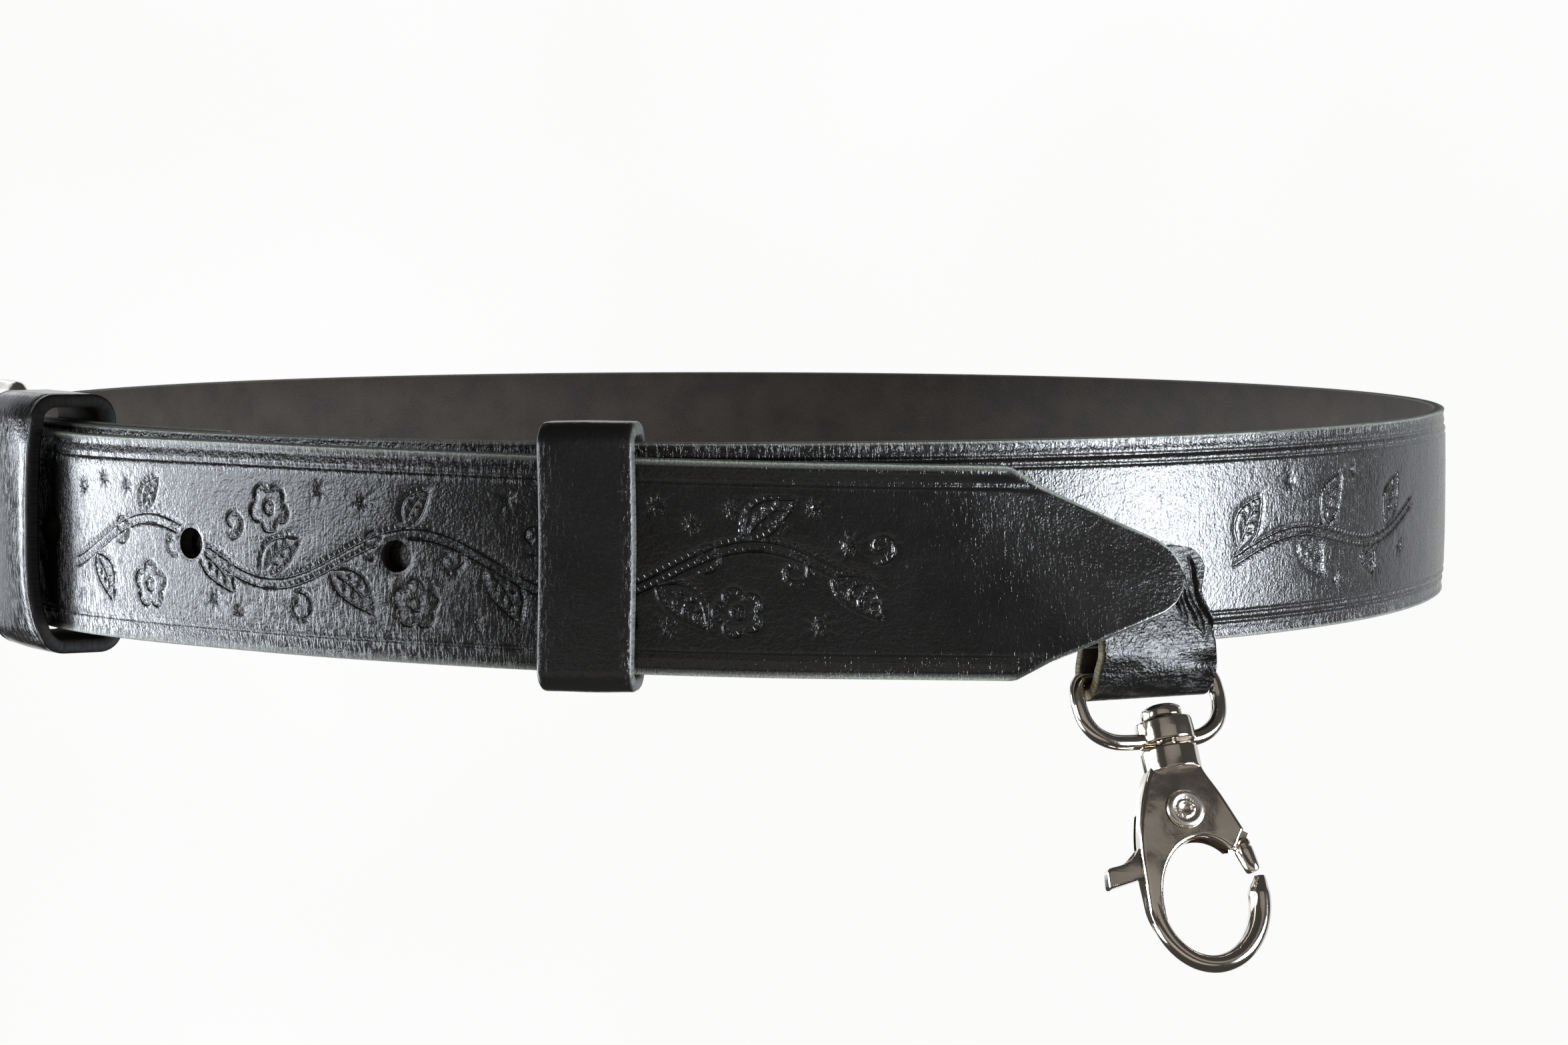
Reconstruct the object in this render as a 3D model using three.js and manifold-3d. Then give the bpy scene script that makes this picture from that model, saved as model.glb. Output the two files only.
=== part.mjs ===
// A western belt, fastened as it is worn: one leather strip with its tongue, two leather
// keepers, a plain buckle, and a folded leather tab that carries a swivel snap hook.
// Millimetres, +Z up. The buckle faces -Y and the tongue points towards +X.
// "Along" is measured along the waist oval from its front towards +X, "out" is measured
// outwards from the strap's outer face, and "up" from the middle of the strap's width.

import * as THREE from 'three';
import { mergeVertices } from 'three/addons/utils/BufferGeometryUtils.js';
import Module from 'manifold-3d';

const wasm = await Module();
wasm.setup();

// Waist oval, through the strap's outer face
const LOOP_HALF_WIDTH = 160;
const LOOP_HALF_DEPTH = 155;

// Strap leather
const STRAP_WIDTH = 38;
const STRAP_THICK = 3;
const STRAP_EDGE_ROUND = 0.8;

// Air between pieces that lie on each other
const CLEAR = 0.35;

// Buckle
const BAR_ALONG = 10;
const BAR_OUT = -3.2;
const BAR_THICK = 4;
const RAIL_ALONG = -27.5;
const RAIL_OUT = 3;
const RAIL_WIDTH = 5;
const FRAME_HALF_HEIGHT = 25.6;
const FRAME_CORNER = 7;
const FRAME_CHAMFER = 1.2;
const PRONG_RADIUS = 1.6;
const PRONG_COLLAR_RADIUS = 3.3;
const PRONG_COLLAR_HALF = 2.6;

// Turn-back behind the strap
const TURN_BACK_END = 95;
const TURN_BACK_THICK = 2.3;
const TURN_BACK_SKIVED = 1.2;
const FOLD_THICK = 2.6;
const TURN_BACK_RIVETS = [
	{ along: 24.3, inner: -8 },
	{ along: 66, inner: -6.8 },
];

// Tongue, with the holes that were punched along its middle
const TONGUE_END = 278;
const HOLES_ALONG = [3, 47.5, 92, 137.2];
const HOLE_RADIUS = 2.9;

// How far the tongue hangs below the strap's own middle, by place
const TONGUE_DROOP = [
	{ along: -70, up: 0 },
	{ along: 0, up: -0.6 },
	{ along: 53, up: -1.5 },
	{ along: 100, up: -1.15 },
	{ along: 140, up: -1.6 },
	{ along: 181, up: -2.5 },
	{ along: 220, up: -3.5 },
	{ along: 244, up: -4.2 },
	{ along: 262, up: -5.2 },
	{ along: 278, up: -6 },
];

// Middle of the tongue's thickness: behind the rail, over the bar, on the strap, over the tab
const TONGUE_LIE = [
	{ along: -70, out: -1.5 },
	{ along: -58, out: -1.5 },
	{ along: -40, out: -1.3 },
	{ along: -27, out: -1 },
	{ along: -12, out: 1.4 },
	{ along: -2, out: 3.2 },
	{ along: 10, out: 3.75 },
	{ along: 20, out: 2.9 },
	{ along: 32, out: 1.95 },
	{ along: 190, out: 1.9 },
	{ along: 225, out: 2.5 },
	{ along: 248, out: 4.3 },
	{ along: 262, out: 5.55 },
	{ along: 278, out: 5.95 },
];

// Pointed end of the tongue: half its width, by the distance left to the tip
const TONGUE_POINT = [
	{ left: 32.3, half: 19 },
	{ left: 26, half: 15.6 },
	{ left: 15.7, half: 11.4 },
	{ left: 4.6, half: 6.9 },
	{ left: 2.2, half: 5.2 },
	{ left: 0.7, half: 3.1 },
	{ left: 0, half: 1.4 },
];

// Keepers: closed leather loops with round corners
const KEEPER_BEND = 2;
const KEEPER_BUCKLE = {
	from: 24.3, to: 48.3, inside: -6.1, outside: 4.5, low: -22.7, high: 22.1, wall: 2.6, skew: 4,
};
const KEEPER_MIDDLE = {
	from: 164, to: 180.5, inside: -3.4, outside: 3.85, low: -22.3, high: 20.2, wall: 2.5, skew: 1,
};

// Hanger tab, folded round the ring's bar
const TAB_ALONG = 276;
const TAB_WIDTH = 24.6;
const TAB_THICK = 2.1;
const TAB_TOP = 0.9;
const TAB_SHOULDER = -7;
const TAB_RIVET_ALONG = 269.8;
const TAB_RIVET_UP = -10.5;

// Swivel ring: its bar lies in the tab's fold
const RING_OUT = -STRAP_THICK / 2;
const RING_UP = -24.8;
const RING_FACING = THREE.MathUtils.degToRad(95);
const RING_LEAN = THREE.MathUtils.degToRad(24);
const RING_WIRE = 1.4;
const RING_BAR_HALF = 14.3;
const RING_BAR_CORNER = 1.5;
const RING_ARM_HALF = 14.5;
const RING_ARM_LEVEL = -5.4;
const RING_FOOT = -12.2;
const RING_FOOT_HALF = 6;
const BOSS_ACROSS = 1.9;
const BOSS_LEVEL = -10.9;
const BOSS_RADIUS = 5.3;
const BOSS_HEIGHT = 4.3;
const BOSS_BORE = 2.25;

// Snap hook, measured from the middle of the boss, with its stem along Y
const HOOK_YAW = THREE.MathUtils.degToRad(10);
const STEM_RADIUS = 1.9;
const PIN_HEAD_RADIUS = 3.7;
const PIN_HEAD_HEIGHT = 3;
const NECK_RADIUS = 5.3;
const NECK_TOP = -3.15;
const NECK_HEIGHT = 4.2;
const PLATE_THICK = 5;
const PLATE_CHAMFER = 0.6;
const BOW_THICK = 3.9;
const BOW_CHAMFER = 0.8;
const BOW_MIDDLE = new THREE.Vector2(1.25, -30.6);
const BOW_HALF_WIDTH = 11.4;
const BOW_HALF_HEIGHT = 13.4;
const EYE_MIDDLE = new THREE.Vector2(1, -30.85);
const EYE_HALF_WIDTH = 8.3;
const EYE_HALF_HEIGHT = 10.55;
const EYE_TILT = THREE.MathUtils.degToRad(-4);

// Gate lever, which turns about the rivet
const PIVOT = new THREE.Vector2(-0.25, -14.9);
const LEVER_THICK = 2;
const LEVER_SLOT = 2.7;
const LEVER_HUB = 3.3;
const LEVER_BORE = 1.85;
const LEVER_ARM_HALF = 1.9;
const GATE_ROOT = new THREE.Vector2(10.1, -21.4);
const GATE_TIP = new THREE.Vector2(11.05, -26.9);
const GATE_HALF = 1.3;
const GATE_THICK = 3.6;
const GATE_START = 11.75;
const PLATE_END = 11.4;
const NOSE_REACH = 18.15;
const GATE_SWING = THREE.MathUtils.degToRad(28);
const SLOT_STEPS = 4;
const THUMB_THICK = 3;
const THUMB_ROOT = new THREE.Vector2(-9.2, -22.4);

// Rivets
const RIVET_SHANK = 1.5;
const RIVET_BORE = 1.85;
const GATE_RIVET_HEAD = 3.6;
const GATE_RIVET_CAP = 0.8;
const STRAP_RIVET_HEAD = 3.2;
const STRAP_RIVET_CAP = 0.7;

// Colours and finishes
const LEATHER = { color: 0x17171a, roughness: 0.45, metalness: 0 };
const KEEPER_LEATHER = { color: 0x1c1c20, roughness: 0.4, metalness: 0 };
const TAB_LEATHER = { color: 0x1e1e22, roughness: 0.5, metalness: 0 };
const NICKEL = { color: 0xcfcac0, roughness: 0.18, metalness: 1 };
const BRASS = { color: 0x9a8a5a, roughness: 0.4, metalness: 1 };

// The oval's length up to each small step of its angle
const OVAL_STEPS = 1440;
const ovalLengths = [0];
for (let step = 1; step <= OVAL_STEPS; step++) {
	const angle = (step - 0.5) / OVAL_STEPS * 2 * Math.PI;
	const speed = Math.hypot(LOOP_HALF_WIDTH * Math.cos(angle), LOOP_HALF_DEPTH * Math.sin(angle));
	ovalLengths.push(ovalLengths[step - 1] + speed * 2 * Math.PI / OVAL_STEPS);
}
const LOOP_LENGTH = ovalLengths[OVAL_STEPS];

// Angle on the oval of a length along it
function ovalAngle(along) {
	const length = THREE.MathUtils.euclideanModulo(along, LOOP_LENGTH);
	let low = 0;
	let high = OVAL_STEPS;
	while (high - low > 1) {
		const middle = (low + high) >> 1;
		if (ovalLengths[middle] <= length) {
			low = middle;
		} else {
			high = middle;
		}
	}
	const share = (length - ovalLengths[low]) / (ovalLengths[high] - ovalLengths[low]);
	return (low + share) / OVAL_STEPS * 2 * Math.PI;
}

// Point of the oval, with the unit directions along it and out of it
function ovalFrame(along) {
	const angle = ovalAngle(along);
	const point = new THREE.Vector3(
		LOOP_HALF_WIDTH * Math.sin(angle),
		-LOOP_HALF_DEPTH * Math.cos(angle),
		0,
	);
	const ahead = new THREE.Vector3(
		LOOP_HALF_WIDTH * Math.cos(angle),
		LOOP_HALF_DEPTH * Math.sin(angle),
		0,
	).normalize();
	const outward = new THREE.Vector3(ahead.y, -ahead.x, 0);
	return { point, ahead, outward };
}

function place(along, out, up) {
	const { point, outward } = ovalFrame(along);
	return point.addScaledVector(outward, out).setZ(up);
}

// Value between the rows of a table, on straight lines
function between(rows, key, value, at) {
	if (at <= rows[0][key]) {
		return rows[0][value];
	}
	for (let i = 1; i < rows.length; i++) {
		if (at <= rows[i][key]) {
			const share = (at - rows[i - 1][key]) / (rows[i][key] - rows[i - 1][key]);
			return THREE.MathUtils.lerp(rows[i - 1][value], rows[i][value], share);
		}
	}
	return rows[rows.length - 1][value];
}

// Closed solid of a geometry, turned the right way out
function solidOf(geometry) {
	const bare = geometry.clone();
	bare.deleteAttribute('normal');
	bare.deleteAttribute('uv');
	const merged = mergeVertices(bare, 1e-4);
	const places = merged.attributes.position.array;
	const corners = Array.from(merged.index.array);
	let volume = 0;
	const [a, b, c] = [new THREE.Vector3(), new THREE.Vector3(), new THREE.Vector3()];
	for (let i = 0; i < corners.length; i += 3) {
		a.fromArray(places, 3 * corners[i]);
		b.fromArray(places, 3 * corners[i + 1]);
		c.fromArray(places, 3 * corners[i + 2]);
		volume += a.dot(b.cross(c));
	}
	const kept = [];
	for (let i = 0; i < corners.length; i += 3) {
		const triple = corners.slice(i, i + 3);
		if (new Set(triple).size === 3) {
			kept.push(...(volume > 0 ? triple : triple.reverse()));
		}
	}
	return new wasm.Manifold(new wasm.Mesh({
		numProp: 3,
		vertProperties: Float32Array.from(places),
		triVerts: Uint32Array.from(kept),
	}));
}

function geometryOf(solid) {
	const mesh = solid.getMesh();
	const geometry = new THREE.BufferGeometry();
	geometry.setAttribute('position', new THREE.BufferAttribute(mesh.vertProperties, 3));
	geometry.setIndex(new THREE.BufferAttribute(mesh.triVerts, 1));
	return geometry;
}

// Moves every corner of a geometry to the place that a rule gives it
function reshape(geometry, rule) {
	const places = geometry.attributes.position;
	for (let i = 0; i < places.count; i++) {
		const moved = rule(places.getX(i), places.getY(i), places.getZ(i));
		places.setXYZ(i, moved.x, moved.y, moved.z);
	}
	return geometry;
}

function named(name, solid, finish) {
	const mesh = new THREE.Mesh(geometryOf(solid), new THREE.MeshStandardMaterial(finish));
	mesh.name = name;
	return mesh;
}

// Flat shape made thick about its own plane, with chamfered edges
function slab(shape, thick, chamfer, fineness = 14) {
	const geometry = new THREE.ExtrudeGeometry(shape, {
		depth: thick - 2 * chamfer,
		bevelEnabled: chamfer > 0,
		bevelThickness: chamfer,
		bevelSize: chamfer,
		bevelOffset: -chamfer,
		bevelSegments: 1,
		curveSegments: fineness,
	});
	return geometry.translate(0, 0, chamfer - thick / 2);
}

// Round pin through the leather at a place, from one depth to another
function pinThrough(radius, along, up, from, to) {
	const pin = new THREE.CylinderGeometry(radius, radius, to - from, 12);
	const { outward } = ovalFrame(along);
	pin.applyQuaternion(new THREE.Quaternion().setFromUnitVectors(
		new THREE.Vector3(0, 1, 0),
		outward,
	));
	const middle = place(along, (from + to) / 2, up);
	return solidOf(pin.translate(middle.x, middle.y, middle.z));
}

// Strap
function strapSection() {
	const half = STRAP_THICK / 2;
	const edge = STRAP_WIDTH / 2;
	const round = STRAP_EDGE_ROUND;
	const shape = new THREE.Shape();
	shape.moveTo(-half, edge - round);
	shape.lineTo(-half, -edge + round);
	shape.absarc(-half + round, -edge + round, round, Math.PI, 1.5 * Math.PI);
	shape.absarc(half - round, -edge + round, round, 1.5 * Math.PI, 2 * Math.PI);
	shape.absarc(half - round, edge - round, round, 0, 0.5 * Math.PI);
	shape.absarc(-half + round, edge - round, round, 0.5 * Math.PI, Math.PI);
	return shape;
}

// Stations from the end of the turn-back, round the bar, round the waist and out to the tip.
// Turn is the angle of the grain side away from straight out: half a turn behind the strap.
function strapStations() {
	const stations = [];
	const full = STRAP_WIDTH / 2;
	const inner = -STRAP_THICK - CLEAR;
	const foldRadius = BAR_THICK / 2 + CLEAR + FOLD_THICK / 2;
	const foldStart = BAR_ALONG + 19;
	const turnBackStep = (TURN_BACK_END - foldStart) / 6;
	for (let along = TURN_BACK_END; along > foldStart - 1; along -= turnBackStep) {
		const skive = THREE.MathUtils.smoothstep(along, TURN_BACK_END - 22, TURN_BACK_END);
		const thick = THREE.MathUtils.lerp(TURN_BACK_THICK, TURN_BACK_SKIVED, skive);
		stations.push({ along, out: inner - thick / 2, up: 0.3, turn: Math.PI, thick, half: full });
	}
	const foldSteps = 10;
	for (let step = 0; step <= foldSteps; step++) {
		const turn = Math.PI * (1 - step / foldSteps);
		stations.push({
			along: BAR_ALONG - foldRadius * Math.sin(turn),
			out: BAR_OUT + foldRadius * Math.cos(turn),
			up: 0.3 * (1 - step / foldSteps),
			turn,
			thick: FOLD_THICK,
			half: full,
		});
	}
	const tongueStart = LOOP_LENGTH - 62;
	for (let along = BAR_ALONG + 7; along < tongueStart; along += along < 300 ? 9 : 15) {
		const settled = THREE.MathUtils.smoothstep(along, BAR_ALONG, BAR_ALONG + 20);
		const thick = THREE.MathUtils.lerp(FOLD_THICK, STRAP_THICK, settled);
		const out = THREE.MathUtils.lerp(BAR_OUT + foldRadius, -STRAP_THICK / 2, settled);
		stations.push({ along, out, up: 0, turn: 0, thick, half: full });
	}
	const pointStart = TONGUE_END - TONGUE_POINT[0].left;
	for (let along = -58; along < pointStart; along += along < 40 ? 5 : 9) {
		stations.push(tongueStation(along, full));
	}
	for (const { left, half } of TONGUE_POINT) {
		stations.push(tongueStation(TONGUE_END - left, half));
	}
	return stations;
}

function tongueStation(along, half) {
	return {
		along: LOOP_LENGTH + along,
		out: between(TONGUE_LIE, 'along', 'out', along),
		up: between(TONGUE_DROOP, 'along', 'up', along),
		turn: 0,
		thick: STRAP_THICK,
		half,
	};
}

function makeStrap() {
	const stations = strapStations();
	const geometry = new THREE.ExtrudeGeometry(strapSection(), {
		depth: stations.length - 1,
		steps: stations.length - 1,
		bevelEnabled: false,
		curveSegments: 1,
	});
	reshape(geometry, (x, y, z) => {
		const { along, out, up, turn, thick, half } = stations[Math.round(z)];
		const { point, ahead, outward } = ovalFrame(along);
		const across = x * thick / STRAP_THICK;
		point.addScaledVector(outward, out + across * Math.cos(turn));
		point.addScaledVector(ahead, -across * Math.sin(turn));
		return point.setZ(up + y * half / (STRAP_WIDTH / 2));
	});
	let strap = solidOf(geometry);
	for (const along of HOLES_ALONG) {
		const out = between(TONGUE_LIE, 'along', 'out', along);
		const up = between(TONGUE_DROOP, 'along', 'up', along);
		const radius = along === HOLES_ALONG[0] ? HOLE_RADIUS + 1 : HOLE_RADIUS;
		strap = strap.subtract(pinThrough(radius, along, up, out - 2.2, out + 4));
	}
	for (const { along } of TURN_BACK_RIVETS) {
		strap = strap.subtract(pinThrough(RIVET_BORE, along, 0, -8, 0.9));
	}
	const tabRivetHole = pinThrough(RIVET_BORE, TAB_RIVET_ALONG, TAB_RIVET_UP, -5, 1);
	return strap.subtract(tabRivetHole).subtract(prongSlot());
}

// Slot in the fold, where the prong sits on the bar
function prongSlot() {
	const slotHalf = PRONG_COLLAR_HALF + 0.6;
	const slot = new THREE.BoxGeometry(10, 10.5, 2 * slotHalf, 4, 1, 1);
	reshape(slot, (x, y, z) => place(BAR_ALONG - 1 + x, BAR_OUT - 0.15 + y, z));
	return solidOf(slot);
}

// Keepers
function roundedLoop(path, left, right, low, high, radius) {
	path.absarc(right - radius, high - radius, radius, 0, 0.5 * Math.PI);
	path.absarc(left + radius, high - radius, radius, 0.5 * Math.PI, Math.PI);
	path.absarc(left + radius, low + radius, radius, Math.PI, 1.5 * Math.PI);
	path.absarc(right - radius, low + radius, radius, 1.5 * Math.PI, 2 * Math.PI);
	return path;
}

function makeKeeper({ from, to, inside, outside, low, high, wall, skew }) {
	const back = inside - wall;
	const face = outside + wall;
	const shape = roundedLoop(
		new THREE.Shape(), back, face, low - wall, high + wall, KEEPER_BEND + wall,
	);
	shape.holes.push(roundedLoop(new THREE.Path(), inside, outside, low, high, KEEPER_BEND));
	const chamfer = 0.5;
	const geometry = new THREE.ExtrudeGeometry(shape, {
		depth: to - from - 2 * chamfer,
		steps: 3,
		bevelThickness: chamfer,
		bevelSize: chamfer,
		bevelOffset: -chamfer,
		bevelSegments: 1,
		curveSegments: 3,
	});
	reshape(geometry, (x, y, z) => {
		const behind = (face - x) / (face - back);
		return place(from + chamfer + z + skew * behind, x, y);
	});
	return solidOf(geometry);
}

// Buckle
// Rounded outline whose long sides are cut into short pieces, so that it can follow the waist
function frameOutline(left, right, halfHeight, corner, pieces) {
	const points = [];
	const raw = roundedLoop(new THREE.Path(), left, right, -halfHeight, halfHeight, corner)
		.getPoints(3);
	for (let i = 0; i < raw.length; i++) {
		const next = raw[(i + 1) % raw.length];
		const cuts = Math.abs(next.x - raw[i].x) > 10 ? pieces : 1;
		for (let cut = 0; cut < cuts; cut++) {
			points.push(raw[i].clone().lerp(next, cut / cuts));
		}
	}
	return points.filter((point, i) => point.distanceTo(points[(i + 1) % points.length]) > 0.01);
}

function makeBuckle() {
	const right = BAR_ALONG + BAR_THICK / 2;
	const left = RAIL_ALONG - RAIL_WIDTH / 2;
	const sideWidth = 4.6;
	const outline = frameOutline(left, right, FRAME_HALF_HEIGHT, FRAME_CORNER, 6);
	const window = frameOutline(
		left + RAIL_WIDTH,
		right - BAR_THICK,
		FRAME_HALF_HEIGHT - sideWidth,
		FRAME_CORNER - 4.5,
		6,
	);
	const shape = new THREE.Shape(outline);
	shape.holes.push(new THREE.Path(window));
	const frame = reshape(slab(shape, BAR_THICK, FRAME_CHAMFER), (x, y, z) => {
		const raised = THREE.MathUtils.smoothstep(BAR_ALONG - x, 7, BAR_ALONG - RAIL_ALONG);
		return place(x, THREE.MathUtils.lerp(BAR_OUT, RAIL_OUT, raised) + z, y);
	});
	const hole = HOLES_ALONG[0];
	const droop = between(TONGUE_DROOP, 'along', 'up', hole);
	const prongPath = new THREE.CatmullRomCurve3([
		place(BAR_ALONG, BAR_OUT, 0),
		place(hole + 2.2, BAR_OUT + 2.6, droop / 2),
		place(hole + 0.9, BAR_OUT + 5.6, droop),
		place(hole - 1, 5.4, droop),
		place(hole - 5, 7.2, droop),
		place(hole - 17, 6.5, droop / 2),
		place(RAIL_ALONG, RAIL_OUT + 3.1, 0),
		place(RAIL_ALONG - 3.4, RAIL_OUT + 2.6, 0),
	]);
	const round = new THREE.Shape().absarc(0, 0, PRONG_RADIUS, 0, 2 * Math.PI);
	const prong = new THREE.ExtrudeGeometry(round, {
		steps: 14,
		extrudePath: prongPath,
		curveSegments: 5,
	});
	const collarLength = 2 * PRONG_COLLAR_HALF;
	const collar = new THREE.CylinderGeometry(
		PRONG_COLLAR_RADIUS,
		PRONG_COLLAR_RADIUS,
		collarLength,
		12,
	);
	const barMiddle = place(BAR_ALONG, BAR_OUT, 0);
	collar.rotateX(Math.PI / 2).translate(barMiddle.x, barMiddle.y, barMiddle.z);
	return solidOf(frame).add(solidOf(prong)).add(solidOf(collar));
}

// Plain rivet: a shank with a cap at one or both ends, standing on its place in the leather
function makeStrapRivet(along, up, from, to, outerCap) {
	const cap = STRAP_RIVET_CAP;
	let rivet = pinThrough(RIVET_SHANK, along, up, from, to);
	rivet = rivet.add(pinThrough(STRAP_RIVET_HEAD, along, up, from, from + cap));
	if (outerCap) {
		rivet = rivet.add(pinThrough(STRAP_RIVET_HEAD, along, up, to - cap, to));
	}
	return rivet;
}

// Hanger tab
function ringBasis() {
	const across = new THREE.Vector3(Math.cos(RING_FACING), Math.sin(RING_FACING), 0);
	const facing = new THREE.Vector3(Math.sin(RING_FACING), -Math.cos(RING_FACING), 0);
	return { middle: place(TAB_ALONG, RING_OUT, RING_UP), across, facing };
}

function tabProfile() {
	const legMiddle = STRAP_THICK / 2 + CLEAR + TAB_THICK / 2;
	const outer = legMiddle + TAB_THICK / 2;
	const inner = legMiddle - TAB_THICK / 2;
	const levels = [TAB_SHOULDER, -13, -STRAP_WIDTH / 2, -22];
	const shape = new THREE.Shape();
	shape.moveTo(outer, TAB_TOP);
	shape.lineTo(inner, TAB_TOP);
	for (const level of levels) {
		shape.lineTo(inner, level);
	}
	shape.absarc(0, RING_UP, inner, 0, -Math.PI, true);
	for (const level of [...levels].reverse()) {
		shape.lineTo(-inner, level);
	}
	shape.lineTo(-inner, TAB_TOP);
	shape.lineTo(-outer, TAB_TOP);
	for (const level of levels) {
		shape.lineTo(-outer, level);
	}
	shape.absarc(0, RING_UP, outer, -Math.PI, 0, false);
	for (const level of [...levels].reverse()) {
		shape.lineTo(outer, level);
	}
	return shape;
}

function makeTab() {
	const steps = 12;
	const geometry = new THREE.ExtrudeGeometry(tabProfile(), {
		depth: steps,
		steps,
		bevelEnabled: false,
		curveSegments: 4,
	});
	const { middle, across, facing } = ringBasis();
	const low = -STRAP_WIDTH / 2 - 0.5;
	reshape(geometry, (x, y, z) => {
		const share = Math.sin((z / steps - 0.5) * Math.PI);
		const sideways = share * TAB_WIDTH / 2;
		const crown = (y - TAB_SHOULDER) * (1 - Math.sqrt(1 - 0.94 * share * share));
		const level = y > TAB_SHOULDER ? y - crown : y;
		const onBelt = place(TAB_ALONG + sideways, RING_OUT + x, level);
		const onRing = middle.clone().addScaledVector(across, sideways).addScaledVector(facing, x);
		onRing.z += level - RING_UP;
		return onBelt.lerp(onRing, THREE.MathUtils.smoothstep(-level, -low, -RING_UP - 1.5));
	});
	const bore = pinThrough(RIVET_BORE, TAB_RIVET_ALONG, TAB_RIVET_UP, -8, 5);
	return solidOf(geometry).subtract(bore).subtract(strapRoom());
}

// The strap between the tab's legs, with a little air round it
function strapRoom() {
	const air = 0.3;
	const room = new THREE.BoxGeometry(40, STRAP_THICK + 2 * air, STRAP_WIDTH + 2 * air, 12, 1, 1);
	reshape(room, (x, y, z) => place(TAB_ALONG + x, RING_OUT + y, z));
	return solidOf(room);
}

// Swivel ring
function ringMiddleLine() {
	const path = new THREE.Path();
	const barEnd = RING_BAR_HALF - RING_BAR_CORNER;
	path.moveTo(-barEnd, 0);
	path.lineTo(barEnd, 0);
	path.absarc(barEnd, -RING_BAR_CORNER, RING_BAR_CORNER, 0.5 * Math.PI, 0, true);
	path.quadraticCurveTo(RING_ARM_HALF, -3.4, RING_ARM_HALF, RING_ARM_LEVEL);
	path.bezierCurveTo(RING_ARM_HALF, -9.8, 11.4, RING_FOOT, RING_FOOT_HALF, RING_FOOT);
	path.lineTo(-RING_FOOT_HALF, RING_FOOT);
	path.bezierCurveTo(-11.4, RING_FOOT, -RING_ARM_HALF, -9.8, -RING_ARM_HALF, RING_ARM_LEVEL);
	path.quadraticCurveTo(-RING_ARM_HALF, -3.4, -RING_BAR_HALF, -RING_BAR_CORNER);
	path.absarc(-barEnd, -RING_BAR_CORNER, RING_BAR_CORNER, Math.PI, 0.5 * Math.PI, true);
	const points = path.getPoints(5);
	return points
		.filter((point, i) => point.distanceTo(points[(i + 1) % points.length]) > 0.05)
		.reverse();
}

// Anticlockwise outline moved sideways by a distance, outwards where that is positive
function offsetOutline(points, distance) {
	return points.map((point, i) => {
		const before = points[(i + points.length - 1) % points.length];
		const after = points[(i + 1) % points.length];
		const ahead = after.clone().sub(before).normalize();
		return new THREE.Vector2(point.x + ahead.y * distance, point.y - ahead.x * distance);
	});
}

function makeRing() {
	const line = ringMiddleLine();
	const shape = new THREE.Shape(offsetOutline(line, RING_WIRE));
	shape.holes.push(new THREE.Path(offsetOutline(line, -RING_WIRE)));
	const wire = slab(shape, 2 * RING_WIRE, 0.8);
	const chamfer = 0.5;
	const half = BOSS_HEIGHT / 2;
	const boss = new THREE.LatheGeometry([
		new THREE.Vector2(0, -half),
		new THREE.Vector2(BOSS_RADIUS - chamfer, -half),
		new THREE.Vector2(BOSS_RADIUS, -half + chamfer),
		new THREE.Vector2(BOSS_RADIUS, half - chamfer),
		new THREE.Vector2(BOSS_RADIUS - chamfer, half),
		new THREE.Vector2(0, half),
	], 20).translate(BOSS_ACROSS, BOSS_LEVEL, 0);
	const bore = new THREE.CylinderGeometry(BOSS_BORE, BOSS_BORE, 3 * BOSS_HEIGHT, 16);
	bore.translate(BOSS_ACROSS, BOSS_LEVEL, 0);
	return solidOf(wire).add(solidOf(boss)).subtract(solidOf(bore));
}

// Snap hook
function makeStem() {
	const top = BOSS_HEIGHT / 2 + CLEAR;
	const low = NECK_TOP - NECK_HEIGHT;
	return new THREE.LatheGeometry([
		new THREE.Vector2(0, low - 1),
		new THREE.Vector2(NECK_RADIUS - 0.6, low - 1),
		new THREE.Vector2(NECK_RADIUS, low),
		new THREE.Vector2(NECK_RADIUS, NECK_TOP - 0.5),
		new THREE.Vector2(NECK_RADIUS - 0.5, NECK_TOP),
		new THREE.Vector2(STEM_RADIUS, NECK_TOP),
		new THREE.Vector2(STEM_RADIUS, top),
		new THREE.Vector2(PIN_HEAD_RADIUS, top),
		new THREE.Vector2(PIN_HEAD_RADIUS, top + 0.55 * PIN_HEAD_HEIGHT),
		new THREE.Vector2(0.75 * PIN_HEAD_RADIUS, top + 0.88 * PIN_HEAD_HEIGHT),
		new THREE.Vector2(0, top + PIN_HEAD_HEIGHT),
	], 20);
}

// Point at an angle and a distance from the gate's pivot
function fromPivot(angle, radius) {
	return new THREE.Vector2(
		PIVOT.x + radius * Math.cos(angle),
		PIVOT.y + radius * Math.sin(angle),
	);
}

function platePart() {
	const shape = new THREE.Shape();
	const endHigh = THREE.MathUtils.degToRad(-25);
	const endLow = THREE.MathUtils.degToRad(-50);
	const corner = fromPivot(endHigh, PLATE_END);
	shape.moveTo(-4.4, -6.2);
	shape.splineThru([
		new THREE.Vector2(-7.1, -10.6),
		new THREE.Vector2(-9.1, -16.6),
		new THREE.Vector2(-10.05, -23),
		new THREE.Vector2(-10.1, -31),
	]);
	shape.lineTo(-5, -31);
	shape.lineTo(4, -26);
	shape.lineTo(fromPivot(endLow, PLATE_END).x, fromPivot(endLow, PLATE_END).y);
	shape.absarc(PIVOT.x, PIVOT.y, PLATE_END, endLow, endHigh, false);
	shape.lineTo(corner.x - 0.5, corner.y + 1.6);
	shape.quadraticCurveTo(6.6, -12.2, 4.4, -6.2);
	return slab(shape, PLATE_THICK, PLATE_CHAMFER, 4);
}

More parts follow.
